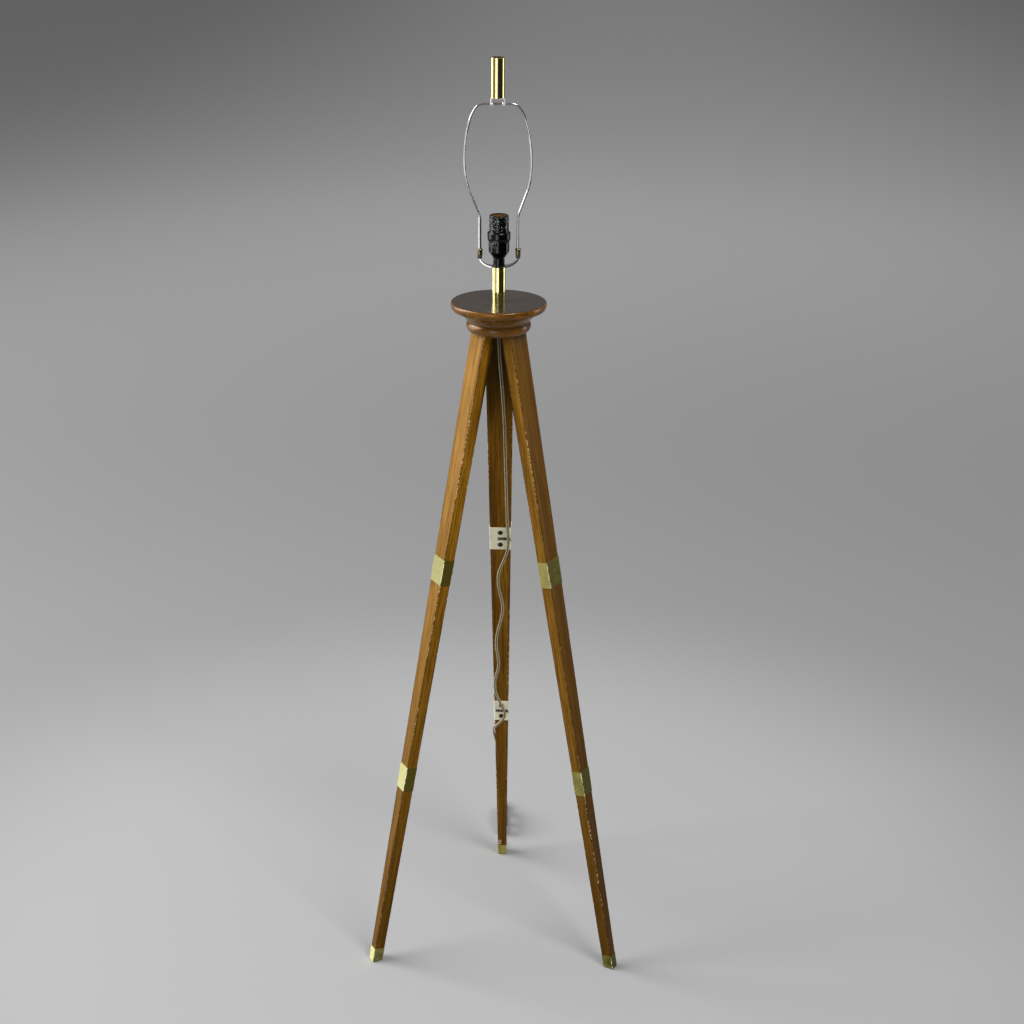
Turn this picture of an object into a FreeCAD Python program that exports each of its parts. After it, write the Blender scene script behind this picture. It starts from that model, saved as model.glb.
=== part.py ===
"""Tripod floor lamp: turned wooden head, three tapered wooden legs with brass bands and foot caps, brass
neck, black switched lamp socket, wire harp with its finial, and a flat lamp cord down the back leg.

Millimetres, +Z up. The origin is on the floor, on the lamp's upright axis. The back leg points along +Y.
"""

import FreeCAD, Part
import math
import operator
import os

import Sketcher

Vector = FreeCAD.Vector
Rotation = FreeCAD.Rotation
Placement = FreeCAD.Placement

X_AXIS = Vector(1, 0, 0)
Y_AXIS = Vector(0, 1, 0)
Z_AXIS = Vector(0, 0, 1)

SIZES = {
    # whole lamp
    "head_top": 1204,
    # turned head
    "head_radius": 78.6,
    "head_thickness": 49,
    "rim_thickness": 12,
    "rim_top_round": 3,
    "rim_bow": 13,
    "rim_flat_radius": 75.6,
    "rim_under_radius": 76.4,
    "rim_step": 1.4,
    "cove_top": 13,
    "cove_bottom": 31,
    "cove_radius": 52,
    "cove_bow": 40,
    "bead_radius": 51,
    "bead_top": 32.5,
    "bead_bow": 11,
    "head_foot_radius": 47.5,
    "head_recess_radius": 17,
    "head_recess_depth": 14,
    # legs
    "leg_outset": 38,
    "leg_thickness": 19,
    "leg_top_width": 48.4,
    "leg_foot_width": 15.6,
    "leg_splay": 10.7,
    "leg_edge_round": 1.2,
    "dowel_radius": 4,
    "dowel_length": 28,
    "dowel_ring_radius": 28,
    # brass bands and foot caps
    "upper_band_station": 414,
    "lower_band_station": 804,
    "band_length": 46,
    "sheet_brass": 0.8,
    "band_edge_round": 1.6,
    "cap_length": 28,
    "cap_floor": 2.4,
    "cap_edge_round": 2.6,
    # band screws
    "screw_head_radius": 4.5,
    "screw_head_height": 2.4,
    "screw_rim": 0.6,
    "screw_shank_radius": 1.9,
    "screw_shank_length": 9,
    "screw_slot_width": 0.9,
    "screw_slot_depth": 0.8,
    "screw_spread": 12.5,
    # cord clips
    "clip_sheet": 0.7,
    "clip_height": 5,
    "clip_hook": 4.6,
    "pin_radius": 1.0,
    "pin_head_height": 0.7,
    "pin_length": 5,
    # lamp pipe and its nut, washer and bushing
    "pipe_radius": 5.1,
    "pipe_bore": 3.4,
    "pipe_clearance": 0.15,
    "pipe_above_saddle": 12,
    "pipe_below_recess": 11,
    "washer_radius": 11,
    "washer_thickness": 1.6,
    "nut_flats": 14,
    "nut_thickness": 5,
    "bushing_radius": 6.4,
    "bushing_thickness": 4,
    # neck
    "neck_radius": 11.1,
    "neck_wall": 1.2,
    "neck_length": 56,
    "neck_washer_thickness": 1.4,
    # harp saddle
    "saddle_sheet": 1.6,
    "saddle_width": 16,
    "saddle_tip_width": 6,
    "saddle_reach": 31,
    "saddle_sweep": 27.6,
    "saddle_slope": 45,
    "saddle_bend": 5.6,
    "post_radius": 2.4,
    "post_length": 8,
    # socket
    "socket_stem_radius": 9.3,
    "socket_stem_length": 14,
    "socket_shoulder": 10,
    "socket_body_radius": 16.9,
    "socket_body_length": 17,
    "socket_collar_radius": 18.8,
    "socket_collar_length": 15,
    "socket_collar_round": 1.4,
    "socket_sleeve_radius": 16.1,
    "socket_sleeve_length": 27,
    "socket_bore": 14.2,
    "socket_bore_depth": 33,
    "thread_groove": 0.6,
    "thread_pitch": 3.2,
    "thread_turns": 6,
    "shell_radius": 13.9,
    "shell_bore": 13.3,
    "shell_length": 26,
    "insulator_thickness": 5,
    "contact_radius": 3.2,
    "contact_height": 3,
    # switch
    "boss_radius": 5.9,
    "boss_bore": 3.9,
    "boss_reach": 21.2,
    "knob_radius": 3.6,
    "knob_reach": 24.5,
    "knob_shaft_radius": 1.5,
    "knob_shaft_end": 15,
    "knob_bore_floor": 17.4,
    "knob_height": 1302,
    "knob_azimuth": 255,
    # harp
    "harp_azimuth": 6,
    "wire_radius": 1.9,
    "harp_foot_gap": 0.4,
    "harp_leg_radius": 2.6,
    "harp_leg_length": 58,
    "harp_top": 1521.5,
    "harp_sway": 3,
    "bracket_length": 24,
    "bracket_width": 11,
    "bracket_sheet": 1.3,
    "bracket_rise": 9.2,
    "bracket_tab": 5,
    "stud_radius": 3.1,
    "stud_length": 15,
    # ferrules
    "ferrule_bore": 2.68,
    "ferrule_radius": 4.4,
    "ferrule_tip_radius": 3.5,
    "ferrule_rim_radius": 4.9,
    "ferrule_rim": 1.4,
    "ferrule_length": 16,
    "ferrule_overlap": 8.3,
    # finial
    "finial_radius": 11.2,
    "finial_bore": 3.16,
    "finial_wall": 1,
    "finial_plug": 22,
    "finial_length": 62,
    "finial_gap": 0.1,
    # cord, plug and tie
    "cord_radius": 2.6,
    "plug_length": 26,
    "plug_width": 19,
    "plug_thickness": 11,
    "plug_taper": 16,
    "blade_length": 17,
    "blade_width": 6.3,
    "blade_thickness": 1.5,
    "blade_spacing": 12.7,
    "hank_turn": 2.5,
    "hank_length": 92,
    "hank_height": 46,
    "hank_width": 17,
    "tie_width": 7,
    "tie_thickness": 1.2,
}

LEG_AZIMUTHS = {"back": 90, "left": 210, "right": 330}


# ---------------------------------------------------------------------------------------------------------
# The document, its sheet of sizes, and dimensions that know both their value and their sheet formula
# ---------------------------------------------------------------------------------------------------------

doc = FreeCAD.newDocument("TripodFloorLamp")
sheet = doc.addObject("Spreadsheet::Sheet", "Sizes")
for row, (alias, number) in enumerate(SIZES.items(), start=1):
    sheet.set(f"A{row}", alias)
    sheet.set(f"B{row}", str(number))
    sheet.setAlias(f"B{row}", alias)
doc.recompute()

OPERATIONS = {"+": operator.add, "-": operator.sub, "*": operator.mul, "/": operator.truediv}


class Dim:
    """A dimension: its value in millimetres or degrees, and the formula that gives it from the sheet."""

    def __init__(self, value, formula=None):
        self.value = float(value)
        self.formula = formula or repr(float(value))

    def __add__(self, other):
        return combine(self, "+", other)

    def __radd__(self, other):
        return combine(other, "+", self)

    def __sub__(self, other):
        return combine(self, "-", other)

    def __rsub__(self, other):
        return combine(other, "-", self)

    def __mul__(self, other):
        return combine(self, "*", other)

    def __rmul__(self, other):
        return combine(other, "*", self)

    def __truediv__(self, other):
        return combine(self, "/", other)

    def __neg__(self):
        return combine(0, "-", self)


def as_dim(number):
    return number if isinstance(number, Dim) else Dim(number)


def combine(left, sign, right):
    left = as_dim(left)
    right = as_dim(right)
    value = OPERATIONS[sign](left.value, right.value)
    return Dim(value, f"({left.formula} {sign} {right.formula})")


def size(alias):
    return Dim(sheet.get(alias), f"Sizes.{alias}")


def sine(angle):
    return Dim(math.sin(math.radians(angle.value)), f"sin({angle.formula} * 1 deg)")


def cosine(angle):
    return Dim(math.cos(math.radians(angle.value)), f"cos({angle.formula} * 1 deg)")


def tangent(angle):
    return Dim(math.tan(math.radians(angle.value)), f"tan({angle.formula} * 1 deg)")


def bind(piece, path, dimension):
    piece.setExpression(path, as_dim(dimension).formula)


def place(piece, placement=None, x=0, y=0, z=0):
    """Put a sub-part either at a worked-out placement or at sheet-driven coordinates."""
    if placement is not None:
        piece.Placement = placement
        return piece
    spot = [as_dim(x), as_dim(y), as_dim(z)]
    piece.Placement = Placement(Vector(*[part.value for part in spot]), Rotation())
    for letter, part in zip("xyz", spot):
        bind(piece, f"Placement.Base.{letter}", part)
    return piece


# ---------------------------------------------------------------------------------------------------------
# Sub-part helpers
# ---------------------------------------------------------------------------------------------------------

nodes = {}


def node(label, piece):
    """Record a finished sub-part under the name of its file."""
    piece.Label = label
    nodes[label] = piece
    return piece


def new_body(name):
    return doc.addObject("PartDesign::Body", name)


def origin_plane(body, role):
    return next(feature for feature in body.Origin.OriginFeatures if feature.Role == role)


def new_sketch(body, name, plane, offset=0):
    sketch = body.newObject("Sketcher::SketchObject", name)
    sketch.AttachmentSupport = [(origin_plane(body, plane), "")]
    sketch.MapMode = "FlatFace"
    offset = as_dim(offset)
    sketch.AttachmentOffset = Placement(Vector(0, 0, offset.value), Rotation())
    bind(sketch, "AttachmentOffset.Base.z", offset)
    return sketch


def pin_point(sketch, geometry, end, point):
    """Hold a sketch point at its two coordinates, on an axis where a coordinate is nothing."""
    rules = (("DistanceX", -2, point[0]), ("DistanceY", -1, point[1]))
    for kind, axis, coordinate in rules:
        if coordinate.value == 0:
            sketch.addConstraint(Sketcher.Constraint("PointOnObject", geometry, end, axis))
            continue
        rule = Sketcher.Constraint(kind, -1, 1, geometry, end, coordinate.value)
        index = sketch.addConstraint(rule)
        bind(sketch, f"Constraints[{index}]", coordinate)


def bowed_arc(start, end, radius):
    """The short arc of a radius from start to end, bowed to the left of that direction, or to the right
    where the radius is negative."""
    chord = end - start
    half = chord.Length / 2
    rise = abs(radius) - math.sqrt(radius ** 2 - half ** 2)
    left = Vector(-chord.y, chord.x, 0).normalize()
    middle = (start + end) * 0.5 + left * math.copysign(rise, radius)
    return Part.Arc(start, middle, end)


def outline(body, name, plane, corners, arcs=None, offset=0):
    """A closed outline on an origin plane. Corners are pairs of dimensions; arcs gives the radius of each
    side that bows, by the number of the corner that it starts from."""
    arcs = arcs or {}
    corners = [(as_dim(across), as_dim(up)) for across, up in corners]
    sketch = new_sketch(body, name, plane, offset)
    ends = []
    for index, corner in enumerate(corners):
        following = corners[(index + 1) % len(corners)]
        start = Vector(corner[0].value, corner[1].value, 0)
        end = Vector(following[0].value, following[1].value, 0)
        if index in arcs:
            curve = bowed_arc(start, end, as_dim(arcs[index]).value)
            geometry = sketch.addGeometry(curve, False)
            starts_first = sketch.getPoint(geometry, 1).distanceToPoint(start) < 1e-6
            ends.append((geometry, 1, 2) if starts_first else (geometry, 2, 1))
        else:
            geometry = sketch.addGeometry(Part.LineSegment(start, end), False)
            ends.append((geometry, 1, 2))
    for index, (geometry, first, last) in enumerate(ends):
        next_geometry, next_first, _ = ends[(index + 1) % len(ends)]
        sketch.addConstraint(Sketcher.Constraint("Coincident", geometry, last, next_geometry, next_first))
    for (geometry, first, _), corner in zip(ends, corners):
        pin_point(sketch, geometry, first, corner)
    for index, radius in arcs.items():
        radius = as_dim(radius)
        constraint = sketch.addConstraint(Sketcher.Constraint("Radius", ends[index][0], abs(radius.value)))
        bind(sketch, f"Constraints[{constraint}]", radius if radius.value > 0 else -radius)
    return sketch


def circle(body, name, plane, across, up, radius, offset=0):
    sketch = new_sketch(body, name, plane, offset)
    centre = (as_dim(across), as_dim(up))
    geometry = sketch.addGeometry(
        Part.Circle(Vector(centre[0].value, centre[1].value, 0), Z_AXIS, as_dim(radius).value), False
    )
    pin_point(sketch, geometry, 3, centre)
    index = sketch.addConstraint(Sketcher.Constraint("Radius", geometry, as_dim(radius).value))
    bind(sketch, f"Constraints[{index}]", radius)
    return sketch


def rectangle(width, height, middle=(0, 0)):
    """The corners of a rectangle about a middle point."""
    across, up = as_dim(middle[0]), as_dim(middle[1])
    return [
        (across - width / 2, up - height / 2),
        (across + width / 2, up - height / 2),
        (across + width / 2, up + height / 2),
        (across - width / 2, up + height / 2),
    ]


def revolve(body, name, sketch, kind="PartDesign::Revolution"):
    turned = body.newObject(kind, name)
    turned.Profile = sketch
    turned.ReferenceAxis = (sketch, ["V_Axis"])
    turned.Angle = 360
    return turned


def turned_body(name, corners, arcs=None):
    """A body turned about its own Z axis; corners are pairs of radius and height."""
    body = new_body(name)
    revolve(body, f"{name}_turning", outline(body, f"{name}_outline", "XZ_Plane", corners, arcs))
    return body


def pad(body, name, sketch, length, both_ways=False):
    feature = body.newObject("PartDesign::Pad", name)
    feature.Profile = sketch
    bind(feature, "Length", length)
    feature.Midplane = both_ways
    return feature


def pocket(body, name, sketch, length, both_ways=False, reverse=False):
    feature = body.newObject("PartDesign::Pocket", name)
    feature.Profile = sketch
    bind(feature, "Length", length)
    feature.Midplane = both_ways
    feature.Reversed = reverse
    return feature


def loft(body, name, first, second, kind="PartDesign::AdditiveLoft"):
    feature = body.newObject(kind, name)
    feature.Profile = first
    feature.Sections = [second]
    feature.Ruled = True
    return feature


def round_edges(body, name, base, chosen, radius):
    """Round the edges of a feature that the chosen test accepts."""
    doc.recompute()
    edges = [f"Edge{index}" for index, edge in enumerate(base.Shape.Edges, start=1) if chosen(edge)]
    feature = body.newObject("PartDesign::Fillet", name)
    feature.Base = (base, edges)
    bind(feature, "Radius", radius)
    return feature


def boolean(kind, name, base, tool):
    feature = doc.addObject(kind, name)
    feature.Base = base
    feature.Tool = tool
    return feature


def cut(name, base, tool):
    return boolean("Part::Cut", name, base, tool)


def group(name, pieces):
    """Several separate solids that share one node."""
    feature = doc.addObject("Part::Compound", name)
    feature.Links = pieces
    return feature


def set_piece(name, shape):
    """A sub-part whose shape is worked out from the sheet by a route."""
    feature = doc.addObject("Part::Feature", name)
    feature.Shape = shape
    feature.Placement = Placement()
    return feature


# ---------------------------------------------------------------------------------------------------------
# Heights and frames
# ---------------------------------------------------------------------------------------------------------

head_top = size("head_top")
stand_height = head_top - size("head_thickness")
splay = size("leg_splay")
half_leg = size("leg_thickness") / 2
leg_length = stand_height / cosine(splay)

neck_top = head_top + size("neck_length")
saddle_base = neck_top + size("neck_washer_thickness")
saddle_top = saddle_base + size("saddle_sheet")
shoulder_base = saddle_top + size("socket_stem_length")
socket_body_base = shoulder_base + size("socket_shoulder")
collar_base = socket_body_base + size("socket_body_length")
sleeve_base = collar_base + size("socket_collar_length")
socket_top = sleeve_base + size("socket_sleeve_length")

saddle_slope = size("saddle_slope")
saddle_closing = size("saddle_sweep") - size("saddle_bend")
saddle_rise = size("saddle_sweep") - saddle_closing * cosine(saddle_slope)
post_base = saddle_top + saddle_rise
harp_foot = post_base + size("post_length") + size("harp_foot_gap")
bracket_top = size("harp_top") + size("bracket_rise")


def leg_frame(azimuth):
    """The frame of a leg: its origin at the middle of the leg's top end, +X out of the leg's outer face, +Y
    across the leg and +Z up along it."""
    lean = splay.value
    middle = half_leg.value
    reach = size("leg_outset").value - middle * math.cos(math.radians(lean))
    height = stand_height.value - middle * math.sin(math.radians(lean))
    turn = Rotation(Z_AXIS, azimuth)
    base = turn.multVec(Vector(reach, 0, height))
    return Placement(base, turn.multiply(Rotation(Y_AXIS, -lean)))


def leg_width(station):
    """The width of a leg at a distance down it."""
    taper = (size("leg_foot_width") - size("leg_top_width")) / leg_length
    return size("leg_top_width") + taper * station


def harp_frame():
    return Placement(Vector(0, 0, 0), Rotation(Z_AXIS, size("harp_azimuth").value))


def harp_top_frame(height):
    """An upright frame at a height over the middle of the harp's top, which leans a little to one side."""
    turn = harp_frame().Rotation
    return Placement(turn.multVec(Vector(-size("harp_sway").value, 0, height.value)), turn)


# ---------------------------------------------------------------------------------------------------------
# Turned head
# ---------------------------------------------------------------------------------------------------------


def make_head():
    thickness = size("head_thickness")
    rim = size("rim_thickness")
    hole = size("pipe_radius") + size("pipe_clearance")
    corners = [
        (hole, 0),
        (size("rim_flat_radius"), 0),
        (size("head_radius"), -size("rim_top_round")),
        (size("rim_under_radius"), -rim),
        (size("rim_under_radius") - size("rim_step"), -rim),
        (size("rim_under_radius") - size("rim_step"), -size("cove_top")),
        (size("cove_radius"), -size("cove_bottom")),
        (size("bead_radius"), -size("bead_top")),
        (size("head_foot_radius"), -thickness),
        (size("head_recess_radius"), -thickness),
        (size("head_recess_radius"), size("head_recess_depth") - thickness),
        (hole, size("head_recess_depth") - thickness),
    ]
    arcs = {1: size("rim_top_round") + 0.2, 2: size("rim_bow"), 5: -size("cove_bow"), 7: size("bead_bow")}
    blank = turned_body("head_blank", corners, arcs)
    return place(blank, z=head_top)


# ---------------------------------------------------------------------------------------------------------
# Legs, bands and caps
# ---------------------------------------------------------------------------------------------------------


def runs_along_leg(edge):
    direction = edge.Vertexes[-1].Point - edge.Vertexes[0].Point
    return abs(direction.z) > 0.9 * direction.Length and direction.Length > 10


def tapered_block(body, name, top, bottom, margin=0, kind="PartDesign::AdditiveLoft"):
    """A length of leg between two stations, thicker by a margin all round, as a loft of two sketches."""
    ends = []
    for end, station in (("top", top), ("bottom", bottom)):
        station = as_dim(station)
        thickness = size("leg_thickness") + margin * 2
        corners = rectangle(thickness, leg_width(station) + margin * 2)
        ends.append(outline(body, f"{name}_{end}", "XY_Plane", corners, offset=-station))
    return loft(body, name, ends[0], ends[1], kind)


def level_cut(body, name, height, keep_below):
    """Cut a leaning body off level at a height above the floor, on the side view of its leg."""
    far = 60
    side = 1 if keep_below else -1
    middle_height = stand_height - half_leg * sine(splay)
    centre = (height - middle_height) / cosine(splay)
    slope = tangent(splay)
    corners = [
        (-far, centre + far * slope),
        (far, centre - far * slope),
        (far, centre + side * far),
        (-far, centre + side * far),
    ]
    sketch = outline(body, f"{name}_wedge", "XZ_Plane", corners)
    return pocket(body, name, sketch, 120, both_ways=True)


def screw_stations():
    """The stations of the two screws of each band."""
    spread = size("screw_spread")
    return {
        band: (size(f"{band}_band_station") - spread, size(f"{band}_band_station") + spread)
        for band in ("upper", "lower")
    }


def drill_screw(body, name, station):
    """A screw hole from the middle of the leg out through its inner face."""
    sketch = circle(body, f"{name}_circle", "YZ_Plane", 0, -station, size("screw_shank_radius"))
    return pocket(body, name, sketch, half_leg + 3)


def make_leg_sections(side, azimuth):
    """The three lengths of wood that the bands join into one leg."""
    screws = screw_stations()
    upper, lower = size("upper_band_station"), size("lower_band_station")
    spans = {
        "upper": (Dim(-6), upper, [screws["upper"][0]]),
        "middle": (upper, lower, [screws["upper"][1], screws["lower"][0]]),
        "lower": (lower, leg_length + 6, [screws["lower"][1]]),
    }
    sections = {}
    for level, (top, bottom, drilled) in spans.items():
        name = f"leg_{side}_{level}"
        body = new_body(f"{name}_wood")
        block = tapered_block(body, f"{name}_block", top, bottom)
        if level == "upper":
            block = level_cut(body, f"{name}_level", stand_height, keep_below=True)
        if level == "lower":
            block = level_cut(body, f"{name}_level", size("cap_floor"), keep_below=False)
        round_edges(body, f"{name}_arris", block, runs_along_leg, size("leg_edge_round"))
        for number, station in enumerate(drilled, start=1):
            drill_screw(body, f"{name}_hole{number}", station)
        sections[level] = place(body, leg_frame(azimuth))
    return sections


def make_band(side, azimuth, level):
    """A brass band: a tapered sleeve round the joint of two leg sections, drilled for its two screws."""
    middle = size(f"{level}_band_station")
    top = middle - size("band_length") / 2
    bottom = middle + size("band_length") / 2
    name = f"band_{side}_{level}"
    body = new_body(name)
    block = tapered_block(body, f"{name}_block", top, bottom, size("sheet_brass"))
    round_edges(body, f"{name}_corners", block, runs_along_leg, size("band_edge_round"))
    tapered_block(body, f"{name}_inside", top, bottom, kind="PartDesign::SubtractiveLoft")
    for number, station in enumerate(screw_stations()[level], start=1):
        drill_screw(body, f"{name}_hole{number}", station)
    return place(body, leg_frame(azimuth))


def make_cap(side, azimuth, wood):
    """A brass cup under a leg, level below, with the leg's foot standing in it."""
    name = f"cap_{side}"
    body = new_body(f"{name}_blank")
    top = leg_length - size("cap_length")
    tapered_block(body, f"{name}_block", top, leg_length + 6, size("sheet_brass"))
    level = level_cut(body, f"{name}_level", Dim(0), keep_below=False)
    doc.recompute()
    top_height = max(level.Shape.Faces, key=lambda face: face.CenterOfMass.z).CenterOfMass.z
    round_edges(
        body,
        f"{name}_edges",
        level,
        lambda edge: abs(edge.CenterOfMass.z - top_height) > 1,
        size("cap_edge_round"),
    )
    place(body, leg_frame(azimuth))
    return cut(name, body, wood)


def make_dowel(side, azimuth):
    """An upright dowel, half in the head and half in the top of a leg."""
    spot = Rotation(Z_AXIS, azimuth).multVec(Vector(size("dowel_ring_radius").value, 0, 0))
    dowel = doc.addObject("Part::Cylinder", f"dowel_{side}")
    bind(dowel, "Radius", size("dowel_radius"))
    bind(dowel, "Height", size("dowel_length"))
    height = stand_height - size("dowel_length") / 2
    return place(dowel, Placement(spot + Vector(0, 0, height.value), Rotation()))


def make_screw(name, azimuth, station):
    """A slotted round-head screw, its head on the band's inner face."""
    head, rim = size("screw_head_radius"), size("screw_rim")
    corners = [
        (0, -size("screw_shank_length")),
        (size("screw_shank_radius"), -size("screw_shank_length")),
        (size("screw_shank_radius"), 0),
        (head, 0),
        (head, rim),
        (0, size("screw_head_height")),
    ]
    body = turned_body(name, corners, {4: -8})
    slot = outline(
        body,
        f"{name}_slot_outline",
        "XY_Plane",
        rectangle(size("screw_slot_width"), head * 2.2),
        offset=size("screw_head_height"),
    )
    pocket(body, f"{name}_slot", slot, size("screw_slot_depth"))
    seat = Vector(-(half_leg + size("sheet_brass")).value, 0, -station.value)
    return place(body, leg_frame(azimuth).multiply(Placement(seat, Rotation(Y_AXIS, -90))))


# ---------------------------------------------------------------------------------------------------------
# Cord clips on the back leg
# ---------------------------------------------------------------------------------------------------------


def make_clip(level, left_end):
    """A strap on a band's inner face, pinned at its left end, with its right end turned up past the cord."""
    name = f"clip_{level}"
    sheet_metal = size("clip_sheet")
    half_width = leg_width(size(f"{level}_band_station")) / 2
    right_end = half_width - 0.5
    body = new_body(name)
    corners = [
        (0, -left_end),
        (sheet_metal, -left_end),
        (sheet_metal, right_end - sheet_metal),
        (size("clip_hook"), right_end + 1 - sheet_metal),
        (size("clip_hook"), right_end + 1),
        (0, right_end),
    ]
    profile = outline(body, f"{name}_profile", "XY_Plane", corners)
    pad(body, f"{name}_strap", profile, size("clip_height"), both_ways=True)
    return place(body, inner_face_frame(size(f"{level}_band_station")))


def make_pin(name, level, across):
    """A small domed pin through a clip's strap into the leg."""
    corners = [
        (0, -size("pin_length")),
        (size("pin_radius") * 0.5, -size("pin_length")),
        (size("pin_radius") * 0.5, 0),
        (size("pin_radius"), 0),
        (size("pin_radius"), size("pin_head_height") * 0.4),
        (size("pin_radius") * 0.6, size("pin_head_height")),
        (0, size("pin_head_height")),
    ]
    body = turned_body(name, corners)
    seat = Placement(Vector(size("clip_sheet").value, across.value, 0), Rotation(Y_AXIS, 90))
    return place(body, inner_face_frame(size(f"{level}_band_station")).multiply(seat))


def inner_face_frame(station):
    """A frame on the back leg's band: +X out of its inner face, +Y to the lamp's right, +Z up along the leg."""
    seat = Vector(-(half_leg + size("sheet_brass")).value, 0, -station.value)
    return leg_frame(LEG_AZIMUTHS["back"]).multiply(Placement(seat, Rotation(Z_AXIS, 180)))


# ---------------------------------------------------------------------------------------------------------
# Lamp pipe, neck and saddle
# ---------------------------------------------------------------------------------------------------------


def ring(name, bore, radius, height, edge=0):
    """A plain turned ring or tube, standing on its own XY plane, with its top edge slanted off."""
    edge = as_dim(edge)
    corners = [(bore, 0), (radius, 0), (radius, height - edge), (radius - edge, height), (bore, height)]
    if edge.value == 0:
        corners.pop(3)
    return turned_body(name, corners)


def make_pipe_parts():
    recess_top = stand_height + size("head_recess_depth")
    washer_base = recess_top - size("washer_thickness")
    nut_base = washer_base - size("nut_thickness")
    pipe_base = recess_top - size("pipe_below_recess")
    pipe_length = saddle_top + size("pipe_above_saddle") - pipe_base
    pipe = place(ring("lamp_pipe", size("pipe_bore"), size("pipe_radius"), pipe_length, 0.6), z=pipe_base)
    hole = size("pipe_radius") + size("pipe_clearance")
    washer = ring("pipe_washer", hole, size("washer_radius"), size("washer_thickness"))
    place(washer, z=washer_base)
    nut = new_body("pipe_nut")
    across_corners = size("nut_flats") / cosine(Dim(30))
    corners = []
    for step in range(6):
        turn = Dim(60 * step)
        corners.append((across_corners / 2 * cosine(turn), across_corners / 2 * sine(turn)))
    corners = [(flatten(across), flatten(up)) for across, up in corners]
    pad(nut, "pipe_nut_pad", outline(nut, "pipe_nut_hexagon", "XY_Plane", corners), size("nut_thickness"))
    bore = circle(nut, "pipe_nut_bore", "XY_Plane", 0, 0, hole)
    pocket(nut, "pipe_nut_hole", bore, size("nut_thickness"), reverse=True)
    place(nut, z=nut_base)
    bushing_base = pipe_base - size("bushing_thickness")
    corners = [
        (0, 0),
        (size("bushing_radius") - 2, 0),
        (size("bushing_radius"), 2),
        (size("bushing_radius"), size("bushing_thickness")),
        (0, size("bushing_thickness")),
    ]
    bushing = place(turned_body("cord_bushing", corners, {1: -2.4}), z=bushing_base)
    return {"lamp_pipe": pipe, "pipe_washer": washer, "pipe_nut": nut, "cord_bushing": bushing}


def flatten(dimension):
    """A coordinate that is nothing but for rounding becomes plain nothing."""
    return Dim(0) if abs(dimension.value) < 1e-9 else dimension


def make_saddle():
    """The harp's saddle: a strip that sweeps up to both sides and is bent upright at its tips, where it is
    narrowest and carries a post. The sweep turns through the slope, and the bend through the rest."""
    reach, sweep, bend, thick = (size(f"saddle_{part}") for part in ("reach", "sweep", "bend", "sheet"))
    right = reach + thick / 2
    flat = right - thick - bend - saddle_closing * sine(saddle_slope)
    under = (
        flat + (sweep + thick) * sine(saddle_slope),
        sweep + thick - (sweep + thick) * cosine(saddle_slope),
    )
    over = (flat + sweep * sine(saddle_slope), sweep + thick - sweep * cosine(saddle_slope))
    tip = saddle_rise + thick
    strip = new_body("saddle_strip")
    corners = [
        (-right, tip),
        (-under[0], under[1]),
        (-flat, 0),
        (flat, 0),
        under,
        (right, tip),
        (right - thick, tip),
        over,
        (flat, thick),
        (-flat, thick),
        (-over[0], over[1]),
        (thick - right, tip),
    ]
    arcs = {
        0: -bend - thick,
        1: -sweep - thick,
        3: -sweep - thick,
        4: -bend - thick,
        6: bend,
        7: sweep,
        9: sweep,
        10: bend,
    }
    profile = outline(strip, "saddle_profile", "XZ_Plane", corners, arcs)
    pad(strip, "saddle_pad", profile, size("saddle_width"), both_ways=True)
    pipe_room = size("pipe_radius") + size("pipe_clearance")
    hole = circle(strip, "saddle_hole_circle", "XY_Plane", 0, 0, pipe_room)
    pocket(strip, "saddle_hole", hole, 20, both_ways=True)
    shape = new_body("saddle_plan")
    half_wide, half_tip = size("saddle_width") / 2, size("saddle_tip_width") / 2
    shoulder = size("neck_radius") + 1
    corners = [
        (-shoulder, -half_wide),
        (shoulder, -half_wide),
        (right, -half_tip),
        (right, half_tip),
        (shoulder, half_wide),
        (-shoulder, half_wide),
        (-right, half_tip),
        (-right, -half_tip),
    ]
    pad(shape, "saddle_plan_pad", outline(shape, "saddle_plan_outline", "XY_Plane", corners), tip + 1)
    strap = boolean("Part::Common", "saddle_strap", strip, shape)
    posts = []
    for label, across in (("left", -reach), ("right", reach)):
        post = doc.addObject("Part::Cylinder", f"saddle_post_{label}")
        bind(post, "Radius", size("post_radius"))
        bind(post, "Height", size("post_length") + 1)
        posts.append(place(post, x=across, z=tip - 1))
    both = boolean("Part::Fuse", "saddle_posts", posts[0], posts[1])
    saddle = boolean("Part::Fuse", "harp_saddle", strap, both)
    turn = harp_frame().Rotation
    return place(saddle, Placement(Vector(0, 0, saddle_base.value), turn))


# ---------------------------------------------------------------------------------------------------------
# Socket and switch
# ---------------------------------------------------------------------------------------------------------


def make_socket_cap():
    """The lower part of the socket: a stem that swells into a shoulder, open below for the pipe."""
    hole = size("pipe_radius") + size("pipe_clearance")
    stem, body_radius = size("socket_stem_radius"), size("socket_body_radius")
    top = socket_body_base - saddle_top
    corners = [
        (hole, 0),
        (stem + 0.6, 0),
        (stem + 0.6, 1.6),
        (stem, 2.2),
        (stem, size("socket_stem_length") - 1),
        (stem + 1, size("socket_stem_length") + 0.4),
        (body_radius, top),
        (0, top),
        (0, top - 4),
        (hole, top - 4),
    ]
    return place(turned_body("socket_cap", corners), z=saddle_top)


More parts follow.
